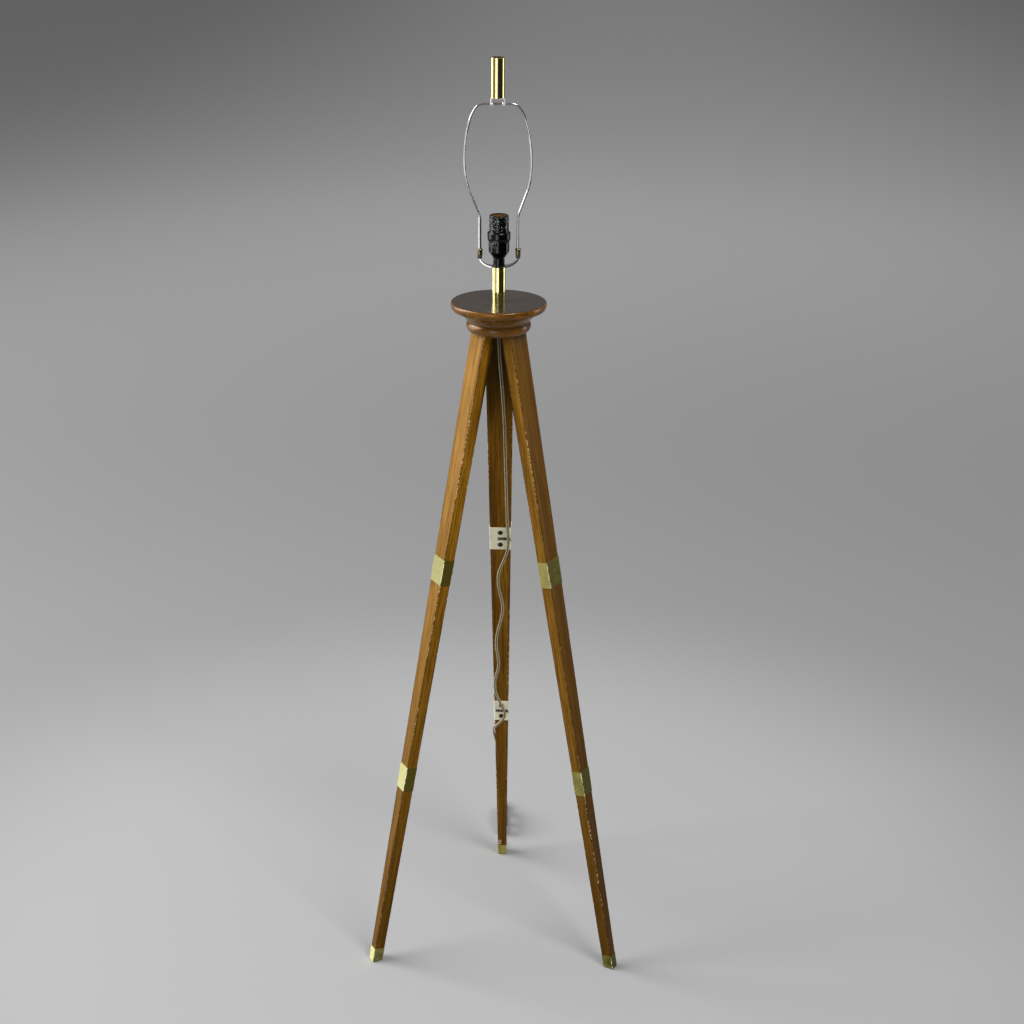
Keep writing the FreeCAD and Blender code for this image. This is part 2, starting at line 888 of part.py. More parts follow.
def make_socket_body():
    """The socket's body with its collar and threaded sleeve, hollow for the screw shell."""
    collar, edge = size("socket_collar_radius"), size("socket_collar_round")
    collar_low = size("socket_body_length")
    collar_high = collar_low + size("socket_collar_length")
    top = collar_high + size("socket_sleeve_length")
    sleeve = size("socket_sleeve_radius")
    name = "socket_body_blank"
    corners = [
        (0, 0),
        (size("socket_body_radius"), 0),
        (size("socket_body_radius"), collar_low - 0.8),
        (collar - 0.6, collar_low + 1.2),
        (collar, collar_low + 5),
        (collar, collar_high - edge * 2),
        (collar - edge, collar_high),
        (sleeve + 0.4, collar_high),
        (sleeve, collar_high + 1.2),
        (sleeve - 0.4, top - edge),
        (sleeve - edge - 0.4, top),
        (size("socket_bore"), top),
        (size("socket_bore"), top - size("socket_bore_depth")),
        (0, top - size("socket_bore_depth")),
    ]
    body = turned_body(name, corners, {5: -3, 9: -1.6})
    low = collar_high + 4
    groove_corners = [
        (sleeve + 1, low - 1),
        (sleeve + 1, low + 1),
        (sleeve - size("thread_groove"), low + 0.25),
        (sleeve - size("thread_groove"), low - 0.25),
    ]
    groove = revolve(
        body,
        f"{name}_groove",
        outline(body, f"{name}_groove_outline", "XZ_Plane", groove_corners),
        "PartDesign::Groove",
    )
    doc.recompute()
    threads = body.newObject("PartDesign::LinearPattern", f"{name}_threads")
    threads.Originals = [groove]
    threads.Direction = (groove.Profile[0], ["V_Axis"])
    bind(threads, "Length", size("thread_pitch") * (size("thread_turns") - 1))
    threads.Occurrences = int(size("thread_turns").value)
    body.Tip = threads
    return place(body, z=socket_body_base)


def across_socket(label, radius, near, far):
    """A cylinder along the switch's axis, between two distances from the lamp's axis."""
    cylinder = doc.addObject("Part::Cylinder", label)
    bind(cylinder, "Radius", radius)
    bind(cylinder, "Height", far - near)
    return place(cylinder, switch_frame(near))


def switch_frame(reach):
    """A frame on the switch's axis, at a distance from the lamp's axis, with +Z pointing outward."""
    turn = Rotation(Z_AXIS, size("knob_azimuth").value)
    base = turn.multVec(Vector(reach.value, 0, 0)) + Vector(0, 0, size("knob_height").value)
    return Placement(base, turn.multiply(Rotation(Y_AXIS, 90)))


def make_switch(socket_blank):
    """The socket's body with its switch boss, and the knob that turns in the boss."""
    near = size("socket_body_radius") - 4
    boss = across_socket("switch_boss", size("boss_radius"), near, size("boss_reach"))
    well_floor = size("knob_bore_floor") - 0.4
    well = across_socket("switch_well", size("boss_bore"), well_floor, size("boss_reach") + 1)
    shaft_room = size("knob_shaft_radius") + 0.05
    shaft_end = size("knob_shaft_end")
    shaft_hole = across_socket("switch_shaft_hole", shaft_room, shaft_end - 0.4, well_floor + 1)
    with_boss = boolean("Part::Fuse", "socket_with_boss", socket_blank, boss)
    hollow = boolean("Part::Fuse", "switch_hollow", well, shaft_hole)
    body = cut("socket_body", with_boss, hollow)
    knob_base = size("knob_bore_floor")
    length = size("knob_reach") - knob_base
    radius = size("knob_radius")
    corners = [
        (0, shaft_end - knob_base),
        (size("knob_shaft_radius"), shaft_end - knob_base),
        (size("knob_shaft_radius"), 0),
        (radius, 0),
        (radius, length - 0.7),
        (radius - 0.7, length),
        (0, length),
    ]
    knob = turned_body("switch_knob", corners)
    flute = circle(knob, "knob_flute_circle", "XY_Plane", radius + 0.5, 0, 0.9, offset=length)
    flute_cut = pocket(knob, "knob_flute", flute, length - 1)
    doc.recompute()
    flutes = knob.newObject("PartDesign::PolarPattern", "knob_flutes")
    flutes.Originals = [flute_cut]
    flutes.Axis = (flute, ["N_Axis"])
    flutes.Angle = 360
    flutes.Occurrences = 8
    knob.Tip = flutes
    place(knob, switch_frame(knob_base))
    return body, knob


def make_socket_inside():
    """The bulb's brass screw shell, the insulator under it and the sprung centre contact."""
    floor = socket_top - size("socket_bore_depth")
    insulator_top = floor + size("insulator_thickness")
    rivet_hole, rivet, rivet_length = Dim(1.5), 1.4, 3
    insulator = ring("insulator", rivet_hole, size("socket_bore") - 0.1, size("insulator_thickness"))
    place(insulator, z=floor)
    shell = ring("screw_shell", size("shell_bore"), size("shell_radius"), size("shell_length"))
    place(shell, z=insulator_top)
    corners = [
        (0, -rivet_length),
        (rivet, -rivet_length),
        (rivet, 0),
        (size("contact_radius"), 0),
        (size("contact_radius"), size("contact_height") * 0.4),
        (size("contact_radius") / 2, size("contact_height")),
        (0, size("contact_height")),
    ]
    contact = place(turned_body("centre_contact", corners), z=insulator_top)
    return {"socket_insulator": insulator, "screw_shell": shell, "centre_contact": contact}


# ---------------------------------------------------------------------------------------------------------
# Routes of wire and cord
# ---------------------------------------------------------------------------------------------------------


def rounded_path(points, label=None, keep=0.45):
    """Straight runs joined by tangent arcs, each arc as large as its two runs allow. A point on a straight
    run has no arc, and only holds the line straight up to it."""
    edges = []
    radii = []
    start = points[0]
    for before, corner, after in zip(points, points[1:], points[2:]):
        incoming = (corner - before).normalize()
        outgoing = (after - corner).normalize()
        turn = incoming.getAngle(outgoing)
        if turn < 1e-4:
            continue
        setback = keep * min((corner - before).Length, (after - corner).Length)
        radius = setback / math.tan(turn / 2)
        radii.append(radius)
        enter = corner - incoming * setback
        leave = corner + outgoing * setback
        inward = (outgoing - incoming).normalize()
        middle = corner + inward * (radius / math.cos(turn / 2) - radius)
        edges.append(Part.LineSegment(start, enter).toShape())
        edges.append(Part.Arc(enter, middle, leave).toShape())
        start = leave
    edges.append(Part.LineSegment(start, points[-1]).toShape())
    wire = Part.Wire(edges)
    if label:
        tightest = " ".join(f"{radius:.1f}" for radius in radii)
        print(f"{label}: length {wire.Length:.1f} mm, bend radii {tightest}")
    return wire


def tube_along(wire, radius):
    """A round solid swept along a wire."""
    first = wire.Edges[0]
    direction = first.tangentAt(first.FirstParameter)
    rim = Part.Wire(Part.makeCircle(radius, wire.OrderedVertexes[0].Point, direction))
    solid = wire.makePipeShell([rim], True, False)
    expected = math.pi * radius ** 2 * wire.Length
    if abs(solid.Volume - expected) > 0.01 * expected:
        raise RuntimeError(f"tube volume {solid.Volume:.0f} is not its section times length {expected:.0f}")
    return solid


# ---------------------------------------------------------------------------------------------------------
# Harp, ferrules and finial
# ---------------------------------------------------------------------------------------------------------


def harp_points():
    """The harp's route from its left foot over the top to its right foot, in its own plane."""
    reach = size("saddle_reach").value
    foot = harp_foot.value
    top = size("harp_top").value
    right_half = [
        (reach, foot),
        (reach, foot + 51),
        (reach, foot + 62),
        (51.0, foot + 113),
        (54.4, foot + 152),
        (49.8, foot + 194),
        (41.6, foot + 222),
        (30.6, top),
    ]
    left_half = [(-across, up) for across, up in right_half]
    lean = size("harp_sway").value / (top - foot - 62)
    return [
        Vector(across - lean * max(up - foot - 62, 0), 0, up) for across, up in left_half + right_half[::-1]
    ]


def make_harp():
    path = rounded_path(harp_points(), "harp")
    wire = set_piece("harp_wire", tube_along(path, size("wire_radius").value))
    wire.Placement = harp_frame()
    return wire


def make_harp_legs():
    """The two stiffening tubes crimped on the harp's lower ends."""
    wire, radius, length = size("wire_radius"), size("harp_leg_radius"), size("harp_leg_length")
    legs = []
    for label, across in (("left", -size("saddle_reach")), ("right", size("saddle_reach"))):
        tube = ring(f"harp_leg_{label}", wire, radius, length, 0.5)
        legs.append(place(tube, x=across, z=harp_foot))
    legs = group("harp_legs", legs)
    return place(legs, harp_frame())


def make_bracket():
    """The stamped bracket on the harp's top: a plate on two end tabs that curl round the wire."""
    wire = size("wire_radius")
    rise, thick = size("bracket_rise"), size("bracket_sheet")
    half, tab = size("bracket_length") / 2, size("bracket_tab")
    body = new_body("bracket_blank")
    depth = size("bracket_width")
    corners = [
        (-half, 0),
        (thick - half, 0),
        (thick * 2 - half, rise - thick),
        (half - thick * 2, rise - thick),
        (half - thick, 0),
        (half, 0),
        (half - thick, rise),
        (thick - half, rise),
    ]
    profile = outline(body, "bracket_profile", "XZ_Plane", corners)
    pad(body, "bracket_pad", profile, depth, both_ways=True)
    curls = []
    for label, across in (("left", -half), ("right", half - tab)):
        curl = doc.addObject("Part::Cylinder", f"bracket_curl_{label}")
        bind(curl, "Radius", wire + thick)
        bind(curl, "Height", tab)
        curl.Placement = Placement(Vector(across.value, 0, 0), Rotation(Y_AXIS, 90))
        bind(curl, "Placement.Base.x", across)
        curls.append(curl)
    both = boolean("Part::Fuse", "bracket_curls", curls[0], curls[1])
    whole = boolean("Part::Fuse", "bracket_whole", body, both)
    wire_room = doc.addObject("Part::Cylinder", "bracket_wire_room")
    bind(wire_room, "Radius", wire + 0.02)
    bind(wire_room, "Height", half * 2 + 4)
    wire_room.Placement = Placement(Vector(-half.value - 2, 0, 0), Rotation(Y_AXIS, 90))
    bracket = cut("harp_bracket", whole, wire_room)
    return place(bracket, harp_top_frame(size("harp_top")))


def make_stud():
    corners = [
        (0, 0),
        (size("stud_radius"), 0),
        (size("stud_radius"), size("stud_length") - 0.8),
        (size("stud_radius") - 0.8, size("stud_length")),
        (0, size("stud_length")),
    ]
    return place(turned_body("finial_stud", corners), harp_top_frame(bracket_top))


def make_ferrule(label, across):
    """A sliding sleeve that locks a harp leg to its saddle post: a bright rim on a barrel that narrows."""
    length, rim = size("ferrule_length"), size("ferrule_rim")
    bore = size("ferrule_bore")
    corners = [
        (bore, 0),
        (size("ferrule_tip_radius"), 0),
        (size("ferrule_radius"), length * 0.4),
        (size("ferrule_radius"), length - rim * 2),
        (size("ferrule_rim_radius"), length - rim * 1.6),
        (size("ferrule_rim_radius"), length - rim * 0.6),
        (size("ferrule_radius"), length),
        (bore, length),
    ]
    ferrule = turned_body(f"ferrule_{label}", corners)
    base = Vector(across.value, 0, (harp_foot - size("ferrule_overlap")).value)
    turn = harp_frame().Rotation
    return place(ferrule, Placement(turn.multVec(base), turn))


def make_finial():
    """A plain brass tube, closed near its foot by a plug that is bored for the stud."""
    radius, wall, plug = size("finial_radius"), size("finial_wall"), size("finial_plug")
    length = size("finial_length")
    corners = [
        (size("finial_bore"), 0),
        (radius - 0.4, 0),
        (radius, 0.4),
        (radius, length - 0.4),
        (radius - 0.4, length),
        (radius - wall, length),
        (radius - wall, plug),
        (0, plug),
        (0, plug - 3),
        (size("finial_bore"), plug - 3),
    ]
    return place(turned_body("finial", corners), harp_top_frame(bracket_top + size("finial_gap")))


# ---------------------------------------------------------------------------------------------------------
# Cord, hank, tie and plug
# ---------------------------------------------------------------------------------------------------------

# The cord's stretch on the back leg: distance down the leg, offset to the right across it, and lift out of
# its inner face; a lift below minus the leg's thickness is behind the leg.
CORD_ON_LEG = [
    (114, 7.0, 25),
    (172, 9.4, 19),
    (244, 10.0, 13),
    (318, 11.4, 8),
    (372, 12.6, 5.4),
    (408, 14.6, 4.6),
    (434, 14.2, 4.9),
    (457, 6.5, 5.4),
    (486, -4.6, 7),
    (518, -3.0, 9),
    (551, 5.0, 9),
    (577, 3.0, 10),
    (608, -5.2, 12),
    (640, -8.8, 12),
    (667, -4.6, 11),
    (693, -3.4, 9.5),
    (716, -9.2, 8),
    (736, -12.0, 7),
    (757, -10.0, 6.8),
    (778, -2.6, 6.6),
    (796, 4.6, 6.6),
    (808, 7.6, 6.6),
    (818, 5.2, 6.6),
    (828, -2.0, 6.2),
    (837, -9.4, 5.0),
    (846, -15.6, 2.8),
    (862, -16.0, -11),
    (878, -15.8, -23.6),
    (902, -9.4, -22.8),
    (940, -3.4, -22.2),
    (990, 1.4, -22.4),
    (1048, -1.0, -22.2),
    (1090, 0.4, -22.3),
    (1126, 0.0, -23.4),
]


def on_back_leg(station, across, lift):
    local = Vector(-half_leg.value - lift, -across, -station)
    return leg_frame(LEG_AZIMUTHS["back"]).multVec(local)


def hank_frame(along=0, height=0):
    """A frame on the floor line on which the hank and the plug lie: +Y away from the lamp."""
    foot = size("leg_outset").value + stand_height.value * math.tan(math.radians(splay.value))
    turn = Rotation(Z_AXIS, size("hank_turn").value)
    start = Vector(-2, foot + 46, as_dim(height).value)
    return Placement(start + turn.multVec(Vector(0, as_dim(along).value, 0)), turn)


def cord_points():
    pipe_base = stand_height + size("head_recess_depth") - size("pipe_below_recess")
    exit_point = Vector(0, 0, (pipe_base - size("bushing_thickness")).value - 0.2)
    drop = [exit_point, exit_point - Vector(0, -1.5, 24)]
    leg = [on_back_leg(*spot) for spot in CORD_ON_LEG]
    low = size("cord_radius").value + 0.5
    landing = [hank_frame(-38, low), hank_frame(0, low)]
    return drop + leg + [frame.Base for frame in landing]


def make_cord():
    path = rounded_path(cord_points(), "cord")
    return set_piece("cord", tube_along(path, size("cord_radius").value))


def make_hank():
    """The put-away length of the cord: a slim folded hank, standing on edge in line with the back leg."""
    length, height, width = size("hank_length"), size("hank_height"), size("hank_width")
    body = new_body("cord_hank")
    end = height / 2
    corners = [(end, 0), (length - end, 0), (length - end, height), (end, height)]
    arcs = {1: -end * 1.0001, 3: -end * 1.0001}
    profile = outline(body, "hank_profile", "YZ_Plane", corners, arcs)
    pad(body, "hank_pad", profile, width, both_ways=True)
    return place(body, hank_frame())


def make_tie():
    """The tie round the hank's middle."""
    height, width = size("hank_height"), size("hank_width")
    thick = size("tie_thickness")
    body = new_body("cord_tie")
    outside = rectangle(width + thick * 2, height + thick, (0, (height + thick) / 2))
    outer = outline(body, "tie_outer", "XZ_Plane", outside)
    pad(body, "tie_pad", outer, size("tie_width"), both_ways=True)
    inner = outline(body, "tie_inner", "XZ_Plane", rectangle(width, height, (0, height / 2)))
    pocket(body, "tie_hole", inner, size("tie_width"), both_ways=True)
    return place(body, hank_frame(size("hank_length") / 2))


def make_plug():
    """A two-blade plug on the floor beyond the hank, its cord end towards the hank."""
    length, taper = size("plug_length"), size("plug_taper")
    wide, thick = size("plug_width"), size("plug_thickness")
    body = new_body("plug_body")
    narrow = outline(body, "plug_cord_end", "XZ_Plane", rectangle(Dim(7), Dim(8)))
    full = outline(body, "plug_shoulder", "XZ_Plane", rectangle(thick, wide), offset=-taper)
    loft(body, "plug_neck", narrow, full)
    front = outline(body, "plug_front", "XZ_Plane", rectangle(thick, wide), offset=-taper)
    block = pad(body, "plug_block", front, length - taper)
    block.Reversed = True
    middle = wide / 2 + 0.2
    near = size("hank_length")
    place(body, hank_frame(near, middle))
    blades = []
    for label, side in (("low", -1), ("high", 1)):
        blade = doc.addObject("Part::Box", f"blade_{label}")
        bind(blade, "Length", size("blade_width"))
        bind(blade, "Width", size("blade_length"))
        bind(blade, "Height", size("blade_thickness"))
        height = middle + size("blade_spacing") / 2 * side - size("blade_thickness") / 2
        corner = Placement(Vector(-size("blade_width").value / 2, 0, 0), Rotation())
        blades.append(place(blade, hank_frame(near + length, height).multiply(corner)))
    return body, group("plug_blades", blades)


# ---------------------------------------------------------------------------------------------------------
# Assembly
# ---------------------------------------------------------------------------------------------------------


def make_tripod():
    dowels = group("leg_dowels", [make_dowel(side, azimuth) for side, azimuth in LEG_AZIMUTHS.items()])
    node("leg_dowels", dowels)
    node("head_turned", cut("head_turned", make_head(), dowels))
    for side, azimuth in LEG_AZIMUTHS.items():
        sections = make_leg_sections(side, azimuth)
        doc.recompute()
        dowel = doc.getObject(f"dowel_{side}")
        node(f"leg_{side}_upper", cut(f"leg_{side}_upper_drilled", sections["upper"], dowel))
        node(f"leg_{side}_middle", sections["middle"])
        node(f"leg_{side}_lower", sections["lower"])
        for level in ("upper", "lower"):
            node(f"band_{side}_{level}", make_band(side, azimuth, level))
        node(f"cap_{side}", make_cap(side, azimuth, sections["lower"]))
        screws = []
        for level, stations in screw_stations().items():
            for number, station in enumerate(stations, start=1):
                screws.append(make_screw(f"screw_{side}_{level}{number}", azimuth, station))
        node(f"band_screws_{side}", group(f"band_screws_{side}", screws))


def make_clips():
    left_ends = {"upper": Dim(4.5), "lower": Dim(10.5)}
    pins = []
    for level, left_end in left_ends.items():
        node(f"cord_clip_{level}", make_clip(level, left_end))
        for number, inset in enumerate((2.5, 8.0), start=1):
            pins.append(make_pin(f"clip_pin_{level}{number}", level, inset - left_end))
    node("clip_pins", group("clip_pins", pins))


def make_top():
    for label, piece in make_pipe_parts().items():
        node(label, piece)
    radius = size("neck_radius")
    neck = ring("neck_tube", radius - size("neck_wall"), radius, size("neck_length"))
    node("neck_tube", place(neck, z=head_top))
    pipe_room = size("pipe_radius") + size("pipe_clearance")
    washer = ring("neck_washer", pipe_room, radius, size("neck_washer_thickness"))
    node("neck_washer", place(washer, z=neck_top))
    node("harp_saddle", make_saddle())
    node("socket_cap", make_socket_cap())
    socket_body, knob = make_switch(make_socket_body())
    node("socket_body", socket_body)
    node("switch_knob", knob)
    for label, piece in make_socket_inside().items():
        node(label, piece)
    node("harp_wire", make_harp())
    node("harp_legs", make_harp_legs())
    node("harp_bracket", make_bracket())
    node("finial_stud", make_stud())
    node("ferrule_left", make_ferrule("left", -size("saddle_reach")))
    node("ferrule_right", make_ferrule("right", size("saddle_reach")))
    node("finial", make_finial())


def make_cord_set():
    node("cord", make_cord())
    node("cord_hank", make_hank())
    node("cord_tie", make_tie())
    plug, blades = make_plug()
    node("plug_body", plug)
    node("plug_blades", blades)


def check_document():
    """Every object must be sound, and every sub-part a valid shape, before anything is written."""
    for piece in doc.Objects:
        if "Invalid" in piece.State or "Error" in piece.State:
            raise RuntimeError(f"{piece.Label} failed: {piece.State} {piece.getStatusString()}")
    for label, piece in nodes.items():
        if piece.Shape.isNull() or not piece.Shape.isValid() or not piece.Shape.Solids:
            raise RuntimeError(f"{label} has no valid solid")
        if piece.Shape.Volume <= 0:
            raise RuntimeError(f"{label} has no volume")


def write_parts():
    os.makedirs("parts", exist_ok=True)
    for label, piece in nodes.items():
        piece.Shape.exportStep(os.path.join("parts", f"{label}.step"))
        box = piece.Shape.BoundBox
        print(f"{label:20s} solids {len(piece.Shape.Solids)} volume {piece.Shape.Volume:10.0f} "
              f"z {box.ZMin:8.1f} to {box.ZMax:8.1f}")


make_tripod()
make_clips()
make_top()
make_cord_set()
doc.recompute()
check_document()
write_parts()
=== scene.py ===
"""Tripod floor lamp: looks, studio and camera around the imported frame. Metres, +Z up, back leg along +Y."""

import math

import bpy
from mathutils import Matrix, Vector


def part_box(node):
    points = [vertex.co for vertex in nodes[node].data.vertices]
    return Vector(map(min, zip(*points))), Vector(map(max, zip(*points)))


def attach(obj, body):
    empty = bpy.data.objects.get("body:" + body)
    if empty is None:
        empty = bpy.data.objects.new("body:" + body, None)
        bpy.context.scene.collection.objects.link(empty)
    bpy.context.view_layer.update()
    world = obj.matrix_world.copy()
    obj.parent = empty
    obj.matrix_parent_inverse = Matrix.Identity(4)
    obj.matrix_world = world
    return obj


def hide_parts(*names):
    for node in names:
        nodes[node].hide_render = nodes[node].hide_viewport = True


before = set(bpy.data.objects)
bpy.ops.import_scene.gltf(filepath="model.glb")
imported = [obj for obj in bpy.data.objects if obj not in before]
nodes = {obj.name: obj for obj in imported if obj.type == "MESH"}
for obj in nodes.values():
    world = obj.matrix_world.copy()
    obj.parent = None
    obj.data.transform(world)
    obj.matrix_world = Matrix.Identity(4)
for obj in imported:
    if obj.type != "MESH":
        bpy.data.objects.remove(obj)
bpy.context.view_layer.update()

# The legs and the switch as part.py makes them.
STAND_HEIGHT = 1.155
LEG_OUTSET = 0.038
LEG_SPLAY = math.radians(10.7)
HALF_LEG = 0.0095
LEG_TOP_WIDTH = 0.0484
LEG_FOOT_WIDTH = 0.0156
LEG_LENGTH = STAND_HEIGHT / math.cos(LEG_SPLAY)
SHEET_PROUD = 0.0008
SLEEVE_HEIGHT = 0.026
KNOB_AZIMUTH = math.radians(255)
KNOB_HEIGHT = 1.302
LEG_AZIMUTHS = {"back": 90, "left": 210, "right": 330}

# The cord.
CORD_WIDTH = 0.0053
CORD_THICKNESS = 0.0028
GROOVE_HALF_WIDTH = 0.0005


def leg_frame(azimuth):
    """A leg's frame: origin at the middle of its top end, +X out of its outer face, +Z up along it."""
    reach = LEG_OUTSET - HALF_LEG * math.cos(LEG_SPLAY)
    height = STAND_HEIGHT - HALF_LEG * math.sin(LEG_SPLAY)
    turn = Matrix.Rotation(math.radians(azimuth), 4, "Z")
    lean = Matrix.Rotation(-LEG_SPLAY, 4, "Y")
    return turn @ Matrix.Translation((reach, 0, height)) @ lean


def leg_width(station):
    """A leg's width at a distance down from its top."""
    return LEG_TOP_WIDTH + (LEG_FOOT_WIDTH - LEG_TOP_WIDTH) * station / LEG_LENGTH


# ---------------------------------------------------------------------------------------------------------
# Shader graph helper
# ---------------------------------------------------------------------------------------------------------


class Graph:
    """A material's node tree, with short calls for the nodes that the materials here are made of."""

    def __init__(self, name):
        self.material = bpy.data.materials.new(name)
        self.material.use_nodes = True
        self.tree = self.material.node_tree
        self.shader = self.tree.nodes["Principled BSDF"]

    def node(self, kind, **settings):
        made = self.tree.nodes.new(kind)
        for key, value in settings.items():
            setattr(made, key, value)
        return made

    def feed(self, socket, value):
        """Link another node's output to the socket, or set the socket to a plain value."""
        if hasattr(value, "is_output"):
            self.tree.links.new(value, socket)
        else:
            socket.default_value = value

    def position(self):
        return self.node("ShaderNodeTexCoord").outputs["Object"]

    def rotate(self, vector, axis, angle):
        turned = self.node("ShaderNodeVectorRotate", rotation_type=f"{axis}_AXIS")
        self.feed(turned.inputs["Vector"], vector)
        self.feed(turned.inputs["Angle"], angle)
        return turned.outputs["Vector"]

    def vector(self, operation, first, second):
        made = self.node("ShaderNodeVectorMath", operation=operation)
        self.feed(made.inputs[0], first)
        self.feed(made.inputs[1], second)
        return made.outputs["Vector"]

    def math(self, operation, first, second=0.0, clamp=False):
        made = self.node("ShaderNodeMath", operation=operation, use_clamp=clamp)
        self.feed(made.inputs[0], first)
        self.feed(made.inputs[1], second)
        return made.outputs["Value"]

    def split(self, vector):
        made = self.node("ShaderNodeSeparateXYZ")
        self.feed(made.inputs[0], vector)
        return made.outputs["X"], made.outputs["Y"], made.outputs["Z"]

    def noise(self, vector, scale, detail=3.0, roughness=0.5, distortion=0.0):
        made = self.node("ShaderNodeTexNoise")
        self.feed(made.inputs["Vector"], vector)
        self.feed(made.inputs["Scale"], scale)
        self.feed(made.inputs["Detail"], detail)
        self.feed(made.inputs["Roughness"], roughness)
        self.feed(made.inputs["Distortion"], distortion)
        return made.outputs["Fac"]

    def step(self, value, low, high, to_low=0.0, to_high=1.0):
        """A smooth change from one number to another while the value goes from low to high."""
        made = self.node("ShaderNodeMapRange", interpolation_type="SMOOTHSTEP")
        self.feed(made.inputs["Value"], value)
        self.feed(made.inputs["From Min"], low)
        self.feed(made.inputs["From Max"], high)
        self.feed(made.inputs["To Min"], to_low)
        self.feed(made.inputs["To Max"], to_high)
        return made.outputs["Result"]

    def ramp(self, value, *stops):
        made = self.node("ShaderNodeValToRGB")
        self.feed(made.inputs[0], value)
        elements = made.color_ramp.elements
        while len(elements) < len(stops):
            elements.new(1.0)
        for element, (place, colour) in zip(elements, stops):
            element.position = place
            element.color = (*colour, 1)
        return made.outputs["Color"]

    def mix(self, share, first, second):
        made = self.node("ShaderNodeMix", data_type="RGBA")
        self.feed(made.inputs[0], share)
        self.feed(made.inputs[6], self.opaque(first))
        self.feed(made.inputs[7], self.opaque(second))
        return made.outputs[2]

    def bump(self, height, strength, distance):
        made = self.node("ShaderNodeBump")
        self.feed(made.inputs["Height"], height)
        self.feed(made.inputs["Strength"], strength)
        self.feed(made.inputs["Distance"], distance)
        return made.outputs["Normal"]

    def opaque(self, value):
        """A three-part colour with its alpha added, or anything else as it is."""
        return (*value, 1) if isinstance(value, tuple) and len(value) == 3 else value

    def finish(self, **sockets):
        """Set the shader's sockets, whose names have an underscore for each space."""
        for name, value in sockets.items():
            self.feed(self.shader.inputs[name.replace("_", " ")], self.opaque(value))
        return self.material


# ---------------------------------------------------------------------------------------------------------
# Wood
# ---------------------------------------------------------------------------------------------------------


def leg_space(g, azimuth):
    """A point in its leg's own frame: across its thickness, across its width, and up along it."""
    origin = leg_frame(azimuth).to_translation()
    local = g.vector("SUBTRACT", g.position(), tuple(origin))
    local = g.rotate(local, "Z", -math.radians(azimuth))
    return g.rotate(local, "Y", LEG_SPLAY)


def arris_distance(g, local, proud=0.0):
    """How far a point on a leg, or on a sheet that stands proud of it, is from the leg's nearest arris."""
    across_x, across_y, along = g.split(local)
    half_width = g.math("MULTIPLY", along, (LEG_TOP_WIDTH - LEG_FOOT_WIDTH) / LEG_LENGTH / 2)
    half_width = g.math("ADD", half_width, LEG_TOP_WIDTH / 2 + proud)
    near_side = g.math("SUBTRACT", half_width, g.math("ABSOLUTE", across_y))
    near_face = g.math("SUBTRACT", HALF_LEG + proud, g.math("ABSOLUTE", across_x))
    return g.math("MAXIMUM", near_side, near_face)


# The colours that the legs' wood is mixed from.
LIT_WOOD = (0.520, 0.310, 0.095)
SHADED_WOOD = (0.040, 0.015, 0.0010)
FINE_GRAIN = (0.080, 0.028, 0.0006)
BLOTCHES = (0.100, 0.040, 0.0030)
PORES = (0.032, 0.011, 0.0008)
FOOT_SHADE = (0.050, 0.020, 0.0006)
BARE_WOOD = (0.640, 0.450, 0.210)
ARRIS_SHADE = (0.036, 0.012, 0.002)
SHADE_UNDER_HEAD = (0.012, 0.006, 0.002)
RUB_MARKS = (0.86, 0.70, 0.62)

# Painted light and shade on each leg: how much paler, or darker where negative, than the middle tone its
# outer face and its other faces are painted, and how much painted shade darkens it towards the foot.
PAINTED_WOOD_LIGHT_AND_SHADE = {
    "back": {"outer": 0.0, "others": 0.10, "foot": 0.42},
    "left": {"outer": 0.26, "others": 0.04, "foot": 0.62},
    "right": {"outer": -0.56, "others": 0.16, "foot": 0.76},
}

# The rub marks above the back leg's cap: the middle and half size of their patch, up and across the leg,
# and their spacing and slant.
SCUFFS_UP = 0.0364
SCUFFS_ACROSS = 0.0046
SCUFFS_HALF_HEIGHT = 0.0058
SCUFFS_HALF_WIDTH = 0.0032
SCUFF_PITCH = 0.0039
SCUFF_SLANT = 0.35


def scuff_marks(g, across, along):
    """A few slanting pale rub marks across one half of a leg's face, just above its cap."""
    aside = g.math("ABSOLUTE", g.math("SUBTRACT", across, SCUFFS_ACROSS))
    away = g.math("ABSOLUTE", g.math("ADD", along, LEG_LENGTH - SCUFFS_UP))
    inside = g.math("LESS_THAN", aside, SCUFFS_HALF_WIDTH)
    inside = g.math("MULTIPLY", inside, g.math("LESS_THAN", away, SCUFFS_HALF_HEIGHT))
    slanting = g.math("ADD", along, g.math("MULTIPLY", across, SCUFF_SLANT))
    wave = g.math("SINE", g.math("MULTIPLY", slanting, 2 * math.pi / SCUFF_PITCH))
    return g.math("MULTIPLY", inside, g.step(wave, 0.1, 0.5, 0.0, 0.95))


def grain_colour(g, shifted):
    """The stained wood's middle tone at a point: a broad figure along the leg."""
    broad = g.noise(g.vector("MULTIPLY", shifted, (75, 75, 2.2)), 1.0, 2.0, 0.55, 0.5)
    return g.ramp(
        broad,
        (0.28, (0.135, 0.048, 0.0006)),
        (0.45, (0.225, 0.092, 0.0018)),
        (0.58, (0.345, 0.162, 0.0080)),
        (0.76, (0.170, 0.065, 0.0012)),
    )


def painted_face_light_and_shade(g, wood, side, across):
    """The wood with its leg's own painted light or shade on its outer face, and another on its other faces.
    """
    on_outer = g.step(across, HALF_LEG - 0.0005, HALF_LEG - 0.0002)
    elsewhere = g.math("SUBTRACT", 1.0, on_outer)
    for faces, where in (("outer", on_outer), ("others", elsewhere)):
        tone = PAINTED_WOOD_LIGHT_AND_SHADE[side][faces]
        other = LIT_WOOD if tone > 0 else SHADED_WOOD
        wood = g.mix(g.math("MULTIPLY", where, abs(tone)), wood, other)
    return wood


